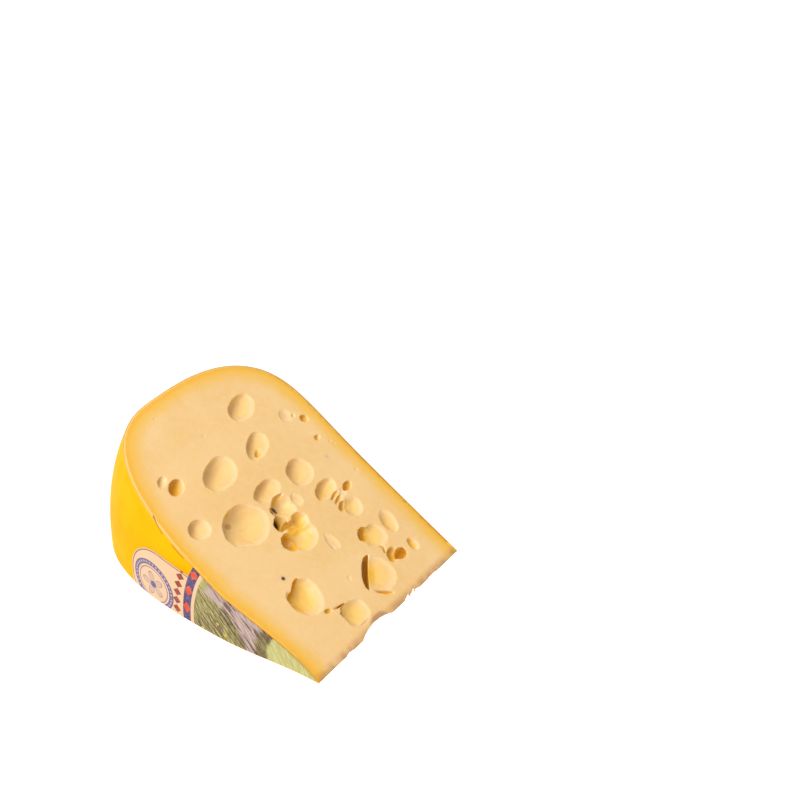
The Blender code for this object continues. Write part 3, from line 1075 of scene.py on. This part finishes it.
@dataclass(frozen=True)
class Eye:
    """A gas bubble that a cut opened.

    The knife drags soft cheese along, so a bubble's floor falls away under one lip,
    the steep one, and its opposite lip is smeared round.

    Attributes:
        r: Mouth centre's distance from the tip edge, in millimetres.
        t: Mouth centre's distance from the printed side, in millimetres.
        length: Half the mouth's length.
        width: Half the mouth's width.
        tilt: Turn of the length from the tip edge's direction towards the rim, in degrees.
        depth: Depth below the face.
        lean: How far the floor moves under the steep lip, as a share of the depth.
        smear: How far the opposite lip is rounded off, in millimetres.
        rough: Share of its size that its wall wanders.
        steep: Direction of the steep lip, as degrees from the tip edge's direction.
        flap: Whether a flap of cheese fills it on the side away from the steep lip.
        dark: How much painted shade its floor takes: 0 none, 1 golden, 2 brown, 3 or more nearly black.
    """

    FADE_END = 1.35
    FADE_RUN = 0.25
    FINE_SIZE = 3 * MM
    LUMP_SHIFT = (7.3, 3.1, 5.7)
    LUMP_SCALE = 1.3
    SMALL_LUMP_SCALE = 2.7
    SMALL_LUMP_SHARE = 0.35
    SMEAR_SHARE = 0.25
    SMEAR_POWER = 1.5
    SMEAR_FALL = 2.2
    LEAST_SMEAR = 0.01 * MM
    FLAP_SLOPE = -0.2

    r: float
    t: float
    length: float
    width: float
    tilt: float
    depth: float
    lean: float = 0.8
    smear: float = 1.4
    rough: float = 0.08
    steep: float = 130.0
    flap: bool = False
    dark: float = 0.0

    @property
    def steep_way(self) -> tuple[float, float]:
        """Return the steep lip's direction along the tip edge and towards the rim."""
        return math.cos(math.radians(self.steep)), math.sin(math.radians(self.steep))

    def inside(self, along: np.ndarray, out: np.ndarray, below: np.ndarray) -> np.ndarray:
        """Return 1 for points in the bubble and 0 well outside it.

        Args:
            along: The points' distances from the printed side, in millimetres.
            out: Their distances from the tip edge.
            below: Their depths under the face.

        Returns:
            One value a point.
        """
        tilt = math.radians(self.tilt)
        along = along - self.t - self.lean * below * self.steep_way[0]
        out = out - self.r - self.lean * below * self.steep_way[1]
        run = (along * math.cos(tilt) + out * math.sin(tilt)) / self.length
        rise = (out * math.cos(tilt) - along * math.sin(tilt)) / self.width
        return np.clip((self.FADE_END - np.hypot(run, rise)) / self.FADE_RUN, 0, 1)

    def ball(self, place: Matrix, seed: int) -> bmesh.types.BMesh:
        """Return the bubble as a slightly uneven closed ball.

        Args:
            place: The cut face's frame.
            seed: Picks the wall's unevenness.

        Returns:
            The ball in the wedge's frame.
        """
        mean = math.sqrt(self.length * self.width) * MM
        depth = self.depth * MM
        radius = (mean**2 + depth**2) / (2 * depth)
        bm = bmesh.new()
        bmesh.ops.create_icosphere(bm, subdivisions=5 if mean > self.FINE_SIZE else 4, radius=1)
        shift = Vector(self.LUMP_SHIFT) * (seed + 1)
        detail = radius / mean
        for vert in bm.verts:
            way = vert.co * self.LUMP_SCALE * detail
            small = noise.noise(way * self.SMALL_LUMP_SCALE - shift)
            swell = noise.noise(way + shift) + self.SMALL_LUMP_SHARE * small
            vert.co *= radius * (1 + self.rough * swell / detail)
        stretch = Matrix.Diagonal((self.length * MM / mean, self.width * MM / mean, 1, 1))
        turned = Matrix.Rotation(math.radians(self.tilt), 4, "Z") @ stretch
        bmesh.ops.transform(bm, matrix=Matrix.Translation((0, 0, radius - depth)) @ turned, verts=bm.verts)
        steep = Vector((*self.steep_way, 0))
        smear = min(self.smear, self.SMEAR_SHARE * self.width) * MM
        for vert in bm.verts:
            below = min(vert.co.z, 0)
            side = Vector((vert.co.x, vert.co.y, 0)).normalized()
            fall = math.exp(self.SMEAR_FALL * below / max(smear, self.LEAST_SMEAR))
            soft = smear * max(0, -side.dot(steep)) ** self.SMEAR_POWER * fall
            vert.co += side * soft - steep * self.lean * below
        if self.flap:
            side = math.radians(self.tilt + 90)
            bmesh.ops.bisect_plane(
                bm,
                geom=bm.verts[:] + bm.edges[:] + bm.faces[:],
                plane_co=(0, 0, 0),
                plane_no=(math.cos(side), math.sin(side), self.FLAP_SLOPE),
                clear_inner=True,
            )
            bmesh.ops.holes_fill(bm, edges=[edge for edge in bm.edges if edge.is_boundary])
            bmesh.ops.triangulate(bm, faces=[face for face in bm.faces if len(face.verts) > 3])
            bmesh.ops.recalc_face_normals(bm, faces=bm.faces)
        spot = place @ Matrix.Translation((self.t * MM, self.r * MM, 0))
        bmesh.ops.transform(bm, matrix=spot, verts=bm.verts)
        return bm


@dataclass(frozen=True)
class LowerEyeRule:
    """How eyes are laid out on the lower cut face, which no one sees at rest.

    Attributes:
        count: How many there are.
        seed: Picks their places and sizes.
        r_range: Least and greatest distance from the tip edge, in millimetres.
        t_range: The same from the printed side.
        size_range: Least and greatest half length.
        width_share: Least and greatest width as a share of the length.
        depth_share: Least and greatest depth as a share of the half length.
        tilt_range: Least and greatest turn in degrees.
        gap: Least cheese between two eyes, in millimetres.
        small_bias: How much commoner small eyes are; 1 is not at all.
        resting_spot: Radius round the frame's origin that stays flat.
        lean: How far a floor moves under its steep lip, as a share of the depth.
    """

    count: int = 24
    seed: int = 11
    r_range: tuple[float, float] = (46.0, 148.0)
    t_range: tuple[float, float] = (16.0, 116.0)
    size_range: tuple[float, float] = (3.0, 10.5)
    width_share: tuple[float, float] = (0.6, 0.95)
    depth_share: tuple[float, float] = (0.35, 0.7)
    tilt_range: tuple[float, float] = (-45.0, 5.0)
    gap: float = 1.5
    small_bias: float = 1.6
    resting_spot: float = 12.0
    lean: float = 0.5

    def eyes(self, wheel: WheelForm) -> list[Eye]:
        """Return the lower face's eyes, clear of each other and of the resting spot.

        Args:
            wheel: The wheel's form, for the resting spot's place.

        Returns:
            The eyes, with t counted against the face's own X.
        """
        draw = random.Random(self.seed)
        rest = Vector((wheel.tip_x, -wheel.start_y)) / MM
        places: list[tuple[Vector, float]] = []
        smallest, largest = self.size_range
        while len(places) < self.count:
            centre = Vector((draw.uniform(*self.r_range), draw.uniform(*self.t_range)))
            size = smallest + (largest - smallest) * draw.random() ** self.small_bias
            if (centre - rest).length < size + self.resting_spot:
                continue
            if all((centre - other).length > size + taken + self.gap for other, taken in places):
                places.append((centre, size))
        draw = random.Random(self.seed + 1)
        eyes = []
        for centre, size in places:
            width = size * draw.uniform(*self.width_share)
            depth = size * draw.uniform(*self.depth_share)
            tilt = draw.uniform(*self.tilt_range)
            eyes.append(Eye(centre.x, -centre.y, size, width, tilt, depth, self.lean))
        return eyes


@dataclass
class CheesePaste:
    """The wedge's body: a turned slice with eyes, worn at its tip edge.

    Attributes:
        wheel: The wheel's form.
        coat: Thickness of the coat that covers its outer side.
        voxel: Size of the fine grid that softens its lips.
        triangles: How many triangles the finished piece keeps.
        spin_steps: Steps round the wedge's angle.
        margin: How far the block stands out before it is trimmed.
        overhang: How far the trimming shape turns past each cut.
        lip_factor: How strongly one round of smoothing rounds the lips.
        lip_rounds: Rounds of smoothing.
        tip_reach: How far from the tip edge it is sharpened again.
        tip_slice: Length of the slices whose tips are measured for that.
        flat_share: Share of a voxel that counts as still on a cut.
        wave_height: Height of the knife's waves on the upper cut.
        wave_depth: Depth at which the waves have died out.
        skin: Depth under the coat within which nothing counts as an eye.
        shade_share: Share of an eye's depth at which the painted shade on its floor is full.
        upper_eyes: The upper cut's eyes.
        tip_chips: Chips out of the tip edge, given as eyes.
    """

    wheel: WheelForm
    coat: float
    voxel: float = FINE_VOXEL
    triangles: int = 190_000
    spin_steps: int = 48
    margin: float = 1.2 * MM
    overhang: float = math.radians(1.5)
    lip_factor: float = 0.5
    lip_rounds: int = 3
    tip_reach: float = 5 * MM
    tip_slice: float = 4 * MM
    flat_share: float = 0.3
    wave_height: float = 0.14 * MM
    wave_depth: float = 2 * MM
    skin: float = 0.3 * MM
    shade_share: float = 0.7
    upper_eyes: tuple[Eye, ...] = (
        Eye(19.8, 112.3, 4.2, 2.8, 84, 2.8, 1.1, dark=1),
        Eye(38.6, 111.6, 7.4, 4.4, 78, 2.8, 1.2, steep=190),
        Eye(20.9, 101.4, 3.6, 3, 10, 6.4, 0.5, 0.4, steep=-50, dark=1.5),
        Eye(23.2, 97.2, 4.7, 3.5, 35, 4.6, 0.4, 0.5, dark=1),
        Eye(37.5, 97.5, 7.6, 6.6, 30, 3.4, 1.3, 2),
        Eye(42.2, 92.9, 4.6, 3.6, 30, 6.5, 0.4, 0.4, dark=1.3),
        Eye(20.6, 80.4, 11, 9.2, 40, 2.9, 0.9, 2.4, 0.05),
        Eye(24.8, 77, 10.8, 4.2, 43, 9, 0.1, 0, 0.03, flap=True, dark=1.75),
        Eye(11.3, 75.3, 6, 1.2, -43, 2.8, 0.3, 0, 0.03, steep=225, dark=1),
        Eye(13.4, 52.4, 8.3, 7, 25, 3.8, 1.1, 2.4),
        Eye(18.7, 48.2, 4.2, 2, 42, 5.4, 0.8, 0, dark=2),
        Eye(22.6, 45, 5.6, 0.65, -12, 1.8, 0, 0, 0.05, dark=0.9),
        Eye(24.2, 40.6, 2.2, 1.2, -20, 2.6, 0.3, 0, dark=1.1),
        Eye(37.2, 37.8, 11, 7.6, 52, 5.2, 1.1, 2.4, dark=0.6),
        Eye(44, 35.8, 6.6, 2.4, 36, 6.5, 0.5, 0, dark=1.2),
        Eye(39, 30.3, 7.4, 3.4, 82, 4.4, 1, 0.6, steep=180, dark=1.3),
        Eye(63.5, 63, 9.5, 7.4, 20, 5.6, 0.6, 2),
        Eye(65, 55, 5.4, 5.6, 10, 8, 0.4, 0.8, dark=1.2),
        Eye(70.6, 68.6, 6.2, 4.8, 45, 5, 0.4, 1.2, dark=0.8),
        Eye(71.5, 63, 3.6, 2.6, 0, 7.5, 0.2, 0.5, dark=1.1),
        Eye(76.6, 58.9, 5.4, 3.6, 40, 10, 0.6, 0, dark=3.6),
        Eye(82.6, 68, 6.8, 6.2, 10, 5.6, 0.7, 1.6),
        Eye(87.4, 67.6, 5.6, 2, 14, 4.6, 0.4, 0.3, dark=0.8),
        Eye(84, 61, 2.6, 1.7, 80, 3, 0.2, 0, dark=4.5),
        Eye(81, 77, 5, 3.6, 60, 1.1),
        Eye(95.2, 67.6, 9.6, 5.6, 8, 4.4, 1.1, 1.8),
        Eye(87.8, 41, 14.6, 11.4, 14, 5.8, 1.2, 3),
        Eye(101.5, 19.2, 6.3, 5.6, 10, 4.4, 1.1, 1.8),
        Eye(127.2, 27.5, 5.6, 3.9, 28, 6.6, 0.5, 0.6, dark=1),
        Eye(134, 23.6, 4, 2.3, 30, 2.2, 0.9),
        Eye(119, 53.4, 12, 8, 18, 5, 1.2, 2.6),
        Eye(118.4, 84, 10.4, 5.6, 28, 4.2, 1.1, 2),
        Eye(115, 82.6, 1.9, 0.8, 40, 4, 0.2, 0, dark=1.5),
        Eye(141.4, 95.2, 10, 6.6, 22, 4.6, 1.2, 2.4),
        Eye(114.6, 121.4, 2.4, 2.4, 0, 3.6, 0.4, 0.4, dark=1.1),
        Eye(122.4, 113.3, 5, 4, 60, 1.1, 0.8),
        Eye(119.8, 117.4, 1.6, 0.7, 60, 1.6, 0.2, 0, dark=0.8),
        Eye(101.2, 118.2, 2, 1.5, 10, 2.2, 0.3, 0.2, dark=1),
        Eye(69, 108.9, 3.3, 2.2, 15, 4.4, 0.3, 0.3, dark=1),
        Eye(67.8, 103.2, 3, 2.4, 30, 0.8),
        Eye(58, 101.4, 6.4, 5.4, 40, 2.6, 0.9),
        Eye(62, 96.2, 3.6, 1.7, 28, 4, 0.2, 0.2, dark=0.6),
        Eye(66, 98, 4.2, 1.4, 14, 2.4, 0.6, 0.3, dark=0.6),
        Eye(69.2, 98, 4.6, 1, 12, 2.6, 0.4, 0, dark=0.7),
        Eye(75, 96.4, 8.4, 5, 12, 4.4, 0.9, 1.4),
        Eye(75.4, 91.6, 4.4, 1.8, 48, 4.6, 0.6, 0.3, dark=1),
        Eye(92.2, 92.2, 8.8, 7.6, 40, 4.6, 1.2, 2.4),
        Eye(50.5, 74.3, 6.8, 3.4, 78, 0.8),
        Eye(48.5, 72.3, 3.5, 0.9, 85, 0.9, 0.5, 0.3),
        Eye(29.7, 65.2, 1.9, 1.2, 45, 0.5),
        Eye(92, 123.5, 1.4, 0.9, 20, 0.5),
        Eye(95, 122.8, 1.5, 0.9, 40, 0.5),
        Eye(72.8, 121.5, 2.6, 0.9, 10, 0.5),
        Eye(141, 63.5, 2.6, 1.4, 40, 0.3),
        Eye(165, 48.5, 1.6, 1.1, 30, 0.35),
        Eye(28.2, 95, 1.7, 0.7, 60, 2.4, 0, 0, 0.04, dark=1.2),
        Eye(30.4, 95.6, 1.5, 0.6, -50, 1.8, 0, 0, 0.04, dark=1.2),
    )
    tip_chips: tuple[Eye, ...] = (
        Eye(-3, 56.5, 14.6, 6.2, 0, 9, 0, 0, 0.06),
        Eye(1.5, 61, 7.6, 5.7, 0, 1.5, 0, 0, 0.06),
        Eye(-0.4, 82.5, 2.2, 1.1, 20, 1.6, 0, 0),
        Eye(1.6, 84.8, 3.2, 0.5, 38, 1.2, 0, 0, 0.05),
        Eye(-0.2, 87.6, 1.6, 0.9, -20, 1.4, 0, 0),
        Eye(2.2, 90.6, 3.4, 0.5, 34, 1.3, 0, 0, 0.05),
        Eye(-0.5, 91.5, 1.8, 1.2, 0, 1.4, 0, 0),
        Eye(-0.6, 32, 3.4, 1.1, 0, 1.2, 0, 0),
        Eye(-0.6, 106, 4.2, 1.1, 0, 1.2, 0, 0),
    )

    def bubbles(self) -> list[bpy.types.Object]:
        """Make every ball that is taken out of the body.

        Returns:
            The balls, each with the seed of its place in the row.
        """
        upper = self.wheel.face_frame(CutFace.UPPER)
        lower = self.wheel.face_frame(CutFace.LOWER)
        placed = [(upper, eye) for eye in self.upper_eyes + self.tip_chips]
        placed += [(lower, eye) for eye in LowerEyeRule().eyes(self.wheel)]
        balls = [eye.ball(place, seed) for seed, (place, eye) in enumerate(placed)]
        return [to_object(f"bubble_{number:02d}", ball) for number, ball in enumerate(balls)]

    def build(self) -> bpy.types.Object:
        """Cut, soften, trim and dress the body.

        Returns:
            The finished paste.
        """
        outline = self.wheel.outline(self.coat)
        block = self.wheel.outline(-self.margin)
        piece = to_object("paste", self.wheel.spin_outline(block, self.spin_steps))
        combine(piece, "DIFFERENCE", self.bubbles())
        self.soften(piece)
        trim = self.wheel.spin_outline(outline, self.spin_steps, self.overhang)
        combine(piece, "INTERSECT", [to_object("trim", trim)])
        self.thin_out(piece)
        self.flatten_cuts(piece.data)
        self.store_channels(piece.data, outline)
        piece.data.shade_smooth()
        piece.data.materials.clear()
        piece.data.materials.append(PasteFinish(self.wheel).material())
        return piece

    def soften(self, piece: bpy.types.Object) -> None:
        """Round every lip a little.

        Args:
            piece: The body with its eyes cut.
        """
        grid = piece.modifiers.new("grid", "REMESH")
        grid.mode = "VOXEL"
        grid.voxel_size = self.voxel
        round_off = piece.modifiers.new("round_off", "SMOOTH")
        round_off.factor = self.lip_factor
        round_off.iterations = self.lip_rounds
        settle_modifiers(piece)

    def thin_out(self, piece: bpy.types.Object) -> None:
        """Take triangles away where the mesh is flat, down to the count it may have.

        Args:
            piece: The trimmed body.
        """
        thin = piece.modifiers.new("thin", "DECIMATE")
        now = sum(len(face.vertices) - 2 for face in piece.data.polygons)
        thin.ratio = min(1.0, self.triangles / now)
        settle_modifiers(piece)

    @staticmethod
    def knife_waves(along: np.ndarray, out: np.ndarray) -> np.ndarray:
        """Return a knife's slow waves, from -2 to 2, at places in millimetres."""
        sway = 0.4 * np.sin(out / 17)
        return np.sin(along / 9.5 + sway) + np.sin(out / 13 + along / 31 + 1.2)

    def flatten_cuts(self, mesh: bpy.types.Mesh) -> None:
        """Sharpen the tip edge, lay both cuts flat again and wave the upper one faintly.

        Args:
            mesh: The trimmed body's mesh.
        """
        points = read_points(mesh)
        tip = np.array((self.wheel.tip_x, 0, 0))
        r, t, _ = self.wheel.polar(points)
        slices = (t / self.tip_slice).astype(int)
        lost = np.median([r[slices == number].min() for number in np.unique(slices)])
        reach = self.tip_reach
        scale = np.where(r < reach, 1 - lost * (1 - r / reach) / r.clip(0.1 * MM), 1)
        points[:, [0, 2]] = (tip + (points - tip) * scale.clip(0)[:, None])[:, [0, 2]]
        for face in CutFace:
            place = self.wheel.face_frame(face)
            outwards = np.array(place.col[2][:3])
            height = (points - np.array(place.translation)) @ outwards
            flat = np.abs(height) < self.flat_share * self.voxel
            points[flat] -= height[flat, None] * outwards
            if face is CutFace.UPPER:
                near = np.clip(1 + height / self.wave_depth, 0, 1)
                out = np.hypot(points[:, 0] - self.wheel.tip_x, points[:, 2]) / MM
                wave = self.knife_waves(points[:, 1] / MM, out)
                points -= (near * self.wave_height * (2 + wave) / 4)[:, None] * outwards
        points[:, 2] = points[:, 2].clip(0)
        write_points(mesh, points)

    def store_channels(self, mesh: bpy.types.Mesh, outline: np.ndarray) -> None:
        """Store each vertex's depths and, in the upper eyes, how much painted shade its wall and floor
        take.

        Args:
            mesh: The paste's mesh.
            outline: Its outer outline as (r, t) rows.
        """
        points = read_points(mesh)
        r, t, turn = self.wheel.polar(points)
        here = np.column_stack((r, t - self.wheel.sag(r, t, turn)))
        starts, ends = outline[:-1], outline[1:]
        run = ends - starts
        length = (run**2).sum(1)
        nearest = np.full(len(here), np.inf)
        for start, step, squared in zip(starts, run, length):
            share = np.clip(((here - start) @ step) / squared, 0, 1)
            nearest = np.minimum(nearest, np.hypot(*(here - start - share[:, None] * step).T))
        write_channel(mesh, Channel.RIND_DEPTH, nearest)
        depths = {
            CutFace.UPPER: r * np.sin(np.clip(self.wheel.angle - turn, 0, 1)),
            CutFace.LOWER: r * np.sin(np.clip(turn, 0, 1)),
        }
        normals = np.empty(len(points) * 3, np.float32)
        mesh.vertices.foreach_get("normal", normals)
        normals = normals.reshape(-1, 3)
        facing = {face: normals @ np.array(self.wheel.face_frame(face).col[2][:3]) for face in CutFace}
        upwards = facing[CutFace.UPPER] > facing[CutFace.LOWER]
        inner = nearest > self.skin
        below = np.where(inner, np.where(upwards, depths[CutFace.UPPER], depths[CutFace.LOWER]), 0)
        write_channel(mesh, Channel.HOLLOW, below)
        plane = self.wheel.face_frame(CutFace.UPPER)
        tilt_along, tilt_out = (normals @ np.array(plane.col[axis][:3]) for axis in (0, 1))
        along, out = t / MM, np.cos(self.wheel.angle - turn) * r / MM
        under = depths[CutFace.UPPER] / MM
        dark, wall = np.zeros(len(points)), np.zeros(len(points))
        for eye in self.upper_eyes:
            inside = eye.inside(along, out, under) * (inner & upwards)
            # Painted shade on walls that face back from the steep lip.
            shaded = -tilt_along * eye.steep_way[0] - tilt_out * eye.steep_way[1]
            wall = np.maximum(wall, inside * shaded)
            # Painted shade on floors, full at the given share of the eye's depth.
            sunk = np.clip(under / (self.shade_share * eye.depth), 0, 1)
            dark = np.maximum(dark, inside * eye.dark * sunk)
        write_channel(mesh, Channel.WALL_SHADE, wall)
        write_channel(mesh, Channel.HOLE_SHADE, dark)
        write_channel(mesh, Channel.TIP_DISTANCE, r)


@dataclass
class RindCoat:
    """The yellow coat over the wheel's outer side, cut through with the wedge.

    Attributes:
        wheel: The wheel's form.
        thickness: The coat's thickness.
        spin_steps: Steps round the wedge's angle.
        unevenness: How far it sinks at most where it was brushed on thinly.
        patches_a_metre: How close the thin places lie.
        calm_tip: Distance from the tip edge over which it gets uneven.
    """

    wheel: WheelForm
    thickness: float = 0.5 * MM
    spin_steps: int = 64
    unevenness: float = 0.12 * MM
    patches_a_metre: float = 70.0
    calm_tip: float = 20 * MM

    def build(self) -> bpy.types.Object:
        """Turn, sink and dress the coat.

        Returns:
            The finished coat.
        """
        outer = self.wheel.outline()
        inner = self.wheel.outline(self.thickness)
        ring = np.concatenate((outer, inner[::-1]))
        piece = to_object("coat", self.wheel.spin_outline(ring, self.spin_steps))
        mesh = piece.data
        points = read_points(mesh)
        mesh_normals = np.array([vert.normal[:] for vert in mesh.vertices])
        r, t, _ = self.wheel.polar(points)
        lift = np.array([noise.noise(Vector(point) * self.patches_a_metre) for point in points])
        edge = np.clip(r / self.calm_tip, 0, 1)
        points -= (edge * self.unevenness * (lift + 1) / 2)[:, None] * mesh_normals
        points[:, 2] = points[:, 2].clip(0)
        write_points(mesh, points)
        mesh.shade_smooth()
        mesh.set_sharp_from_angle(angle=SMOOTH_LIMIT)
        mesh.materials.append(CoatFinish(self.wheel).material())
        return piece


@dataclass
class PrintedLabel:
    """The printed sheet on the wheel's upper side, under the same glossy coating.

    Attributes:
        wheel: The wheel's form.
        tongue: The sheet's tongue towards the rim.
        disc_radius: Radius of its round part, in millimetres.
        start: Where it starts from the tip edge, in millimetres.
        floor_gap: How far it ends above the floor, in millimetres.
        past_cut: How far its outline is drawn past the upper cut.
        lift: How far its inner side lies off the coat.
        thickness: Its thickness with the coating over it.
        spin_steps: Steps round the wedge's angle.
        outline_steps: Points along the longest run of the wheel's outline.
        spare: Share of the tongue's reach that is turned before it is trimmed.
        trim_margin: How far the trimming shape starts in front of the wheel.
        trim_depth: The trimming shape's thickness.
    """

    wheel: WheelForm
    tongue: TongueShape = field(default_factory=TongueShape)
    disc_radius: float = DISC_RADIUS
    start: float = 2.0
    floor_gap: float = 0.8
    past_cut: float = math.radians(4)
    lift: float = 0.05 * MM
    thickness: float = 0.4 * MM
    spin_steps: int = 64
    outline_steps: int = 90
    spare: float = 1.06
    trim_margin: float = 10 * MM
    trim_depth: float = 30 * MM

    def outline(self) -> list[tuple[float, float]]:
        """Draw the sheet's outline flat, tongue first and then round to the tip.

        Returns:
            Points as (distance from the tip edge, height), in millimetres.
        """
        turn_axis, half = self.tongue.angle, self.tongue.half_width
        reach = self.tongue.end - self.tongue.round_start
        neck = turn_axis + math.asin(half / self.disc_radius)
        points = []
        for turn in np.linspace(0, math.pi / 2, 40):
            out = self.tongue.round_start + reach * math.cos(turn)
            side = half * math.sin(turn)
            x = out * math.cos(turn_axis) - side * math.sin(turn_axis)
            z = out * math.sin(turn_axis) + side * math.cos(turn_axis)
            points.append((x, z))
        for turn in np.linspace(neck, self.wheel.angle + self.past_cut, 20):
            points.append((self.disc_radius * math.cos(turn), self.disc_radius * math.sin(turn)))
        start = [(self.start, self.floor_gap), (points[0][0], self.floor_gap)]
        return start + points + [(self.start, self.start + self.floor_gap)]

    def build(self) -> bpy.types.Object:
        """Turn a thin sheet with the wheel, trim it to its outline and dress it.

        Returns:
            The finished sheet.
        """
        covered = self.wheel.outline(steps=self.outline_steps)
        reach = self.spare * self.tongue.end * MM
        keep = (covered[:, 1] < self.wheel.widest_level / 2) & (covered[:, 0] < reach)
        covered = covered[keep]
        covered[:, 0] = covered[:, 0].clip(self.start / 2 * MM)
        inner = covered - (0, self.lift)
        outer = covered - (0, self.lift + self.thickness)
        ring = np.concatenate((inner, outer[::-1]))
        piece = to_object("label_sheet", self.wheel.spin_outline(ring, self.spin_steps))
        trim = bmesh.new()
        tip, front = self.wheel.tip_x, self.wheel.start_y - self.trim_margin
        ring = [trim.verts.new((tip - x * MM, front, z * MM)) for x, z in self.outline()]
        raised = bmesh.ops.extrude_face_region(trim, geom=[trim.faces.new(ring)])["geom"]
        moved = [item for item in raised if isinstance(item, bmesh.types.BMVert)]
        bmesh.ops.translate(trim, vec=(0, self.trim_depth, 0), verts=moved)
        bmesh.ops.recalc_face_normals(trim, faces=trim.faces)
        combine(piece, "INTERSECT", [to_object("label_trim", trim)])
        piece.data.shade_smooth()
        piece.data.set_sharp_from_angle(angle=SMOOTH_LIMIT)
        piece.data.materials.clear()
        piece.data.materials.append(PrintFinish(self.wheel, self.tongue).material())
        return piece


@dataclass
class Studio:
    """Floor, lights, view and camera.

    Attributes:
        camera_place: Camera position in the wedge's frame.
        pitch: How far it looks down, in degrees.
        azimuth: How far it is turned from looking along +Y, in degrees.
        lens: Focal length in millimetres.
        sensor: Sensor width in millimetres.
        near_clip: Nearest distance that the camera sees.
        floor_size: The floor's side.
        floor_colour: The floor's colour.
        floor_shade: Its faint second colour.
        floor_glow: How much the floor lights itself, so that it stays pale.
        air_strength: Strength of the even light from all round.
        key_place: The key lamp's position.
        key_size: Its side.
        key_power: Its power in watts.
        key_colour: Its colour.
        key_aim: The place that it faces.
    """

    camera_place: tuple[float, float, float] = (0.4448, -0.48215, 0.5802)
    pitch: float = 36.06
    azimuth: float = 36.0
    lens: float = 69.4
    sensor: float = 36.0
    near_clip: float = 0.01
    floor_size: float = 6.0
    floor_colour: Colour = (0.93, 0.93, 0.93, 1)
    floor_shade: Colour = (0.88, 0.88, 0.88, 1)
    floor_glow: float = 0.45
    air_strength: float = 0.55
    key_place: tuple[float, float, float] = (-0.5, -1.1, 1.6)
    key_size: float = 1.7
    key_power: float = 45.0
    key_colour: tuple[float, float, float] = (1.0, 0.99, 0.97)
    key_aim: tuple[float, float, float] = (0, 0, 0.03)

    def floor(self) -> bpy.types.Object:
        """Lay the pale floor under the wedge.

        Returns:
            The floor.
        """
        bm = bmesh.new()
        bmesh.ops.create_grid(bm, x_segments=4, y_segments=4, size=self.floor_size / 2)
        piece = to_object("floor", bm)
        sketch = NodeSketch("pale_floor")
        shade = sketch.ease(sketch.noise(3, 2), 0.3, 0.7, 0.0, 0.04)
        sketch.surface(
            Base_Color=sketch.blend(shade, self.floor_colour, self.floor_shade),
            Roughness=0.7,
            Emission_Color=WHITE,
            Emission_Strength=self.floor_glow,
        )
        piece.data.materials.append(sketch.material)
        return piece

    def key_lamp(self) -> None:
        """Add the square soft lamp that faces the wedge."""
        data = bpy.data.lights.new("key", "AREA")
        data.size = self.key_size
        data.energy = self.key_power
        data.color = self.key_colour
        lamp = bpy.data.objects.new("key", data)
        bpy.context.scene.collection.objects.link(lamp)
        lamp.location = self.key_place
        towards = Vector(self.key_aim) - Vector(self.key_place)
        lamp.rotation_euler = towards.to_track_quat("-Z", "Y").to_euler()

    def build(self) -> bpy.types.Object:
        """Light the scene and place the camera.

        Returns:
            The floor.
        """
        scene = bpy.context.scene
        scene.view_settings.view_transform = "Standard"
        world = bpy.data.worlds.new("studio_air")
        scene.world = world
        world.use_nodes = True
        air = world.node_tree.nodes["Background"]
        air.inputs["Color"].default_value = WHITE
        air.inputs["Strength"].default_value = self.air_strength
        self.key_lamp()
        data = bpy.data.cameras.new("camera")
        data.lens = self.lens
        data.sensor_width = self.sensor
        data.clip_start = self.near_clip
        camera = bpy.data.objects.new("camera", data)
        scene.collection.objects.link(camera)
        camera.location = self.camera_place
        camera.rotation_euler = (math.radians(90 - self.pitch), 0, math.radians(self.azimuth))
        scene.camera = camera
        return self.floor()


def settle(piece: bpy.types.Object, nodes: Iterable[str] = ()) -> None:
    """Tie a finished piece to the frame and log it.

    Args:
        piece: The piece.
        nodes: CAD nodes that it stands for.
    """
    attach(piece, BODY)
    for node in nodes:
        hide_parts(node)
    triangles = sum(len(face.vertices) - 2 for face in piece.data.polygons)
    LOG.info("%s: %d triangles", piece.name, triangles)


def main() -> None:
    """Build every piece in order."""
    logging.basicConfig(level=logging.INFO, format="%(name)s: %(message)s")
    wheel = WheelForm.from_frame()
    coat = RindCoat(wheel)
    voxel = FINE_VOXEL
    settle(CheesePaste(wheel, coat.thickness, voxel).build(), ["cheese"])
    settle(coat.build())
    settle(PrintedLabel(wheel).build(), ["label"])
    Studio().build()


if __name__ == "__main__":
    main()
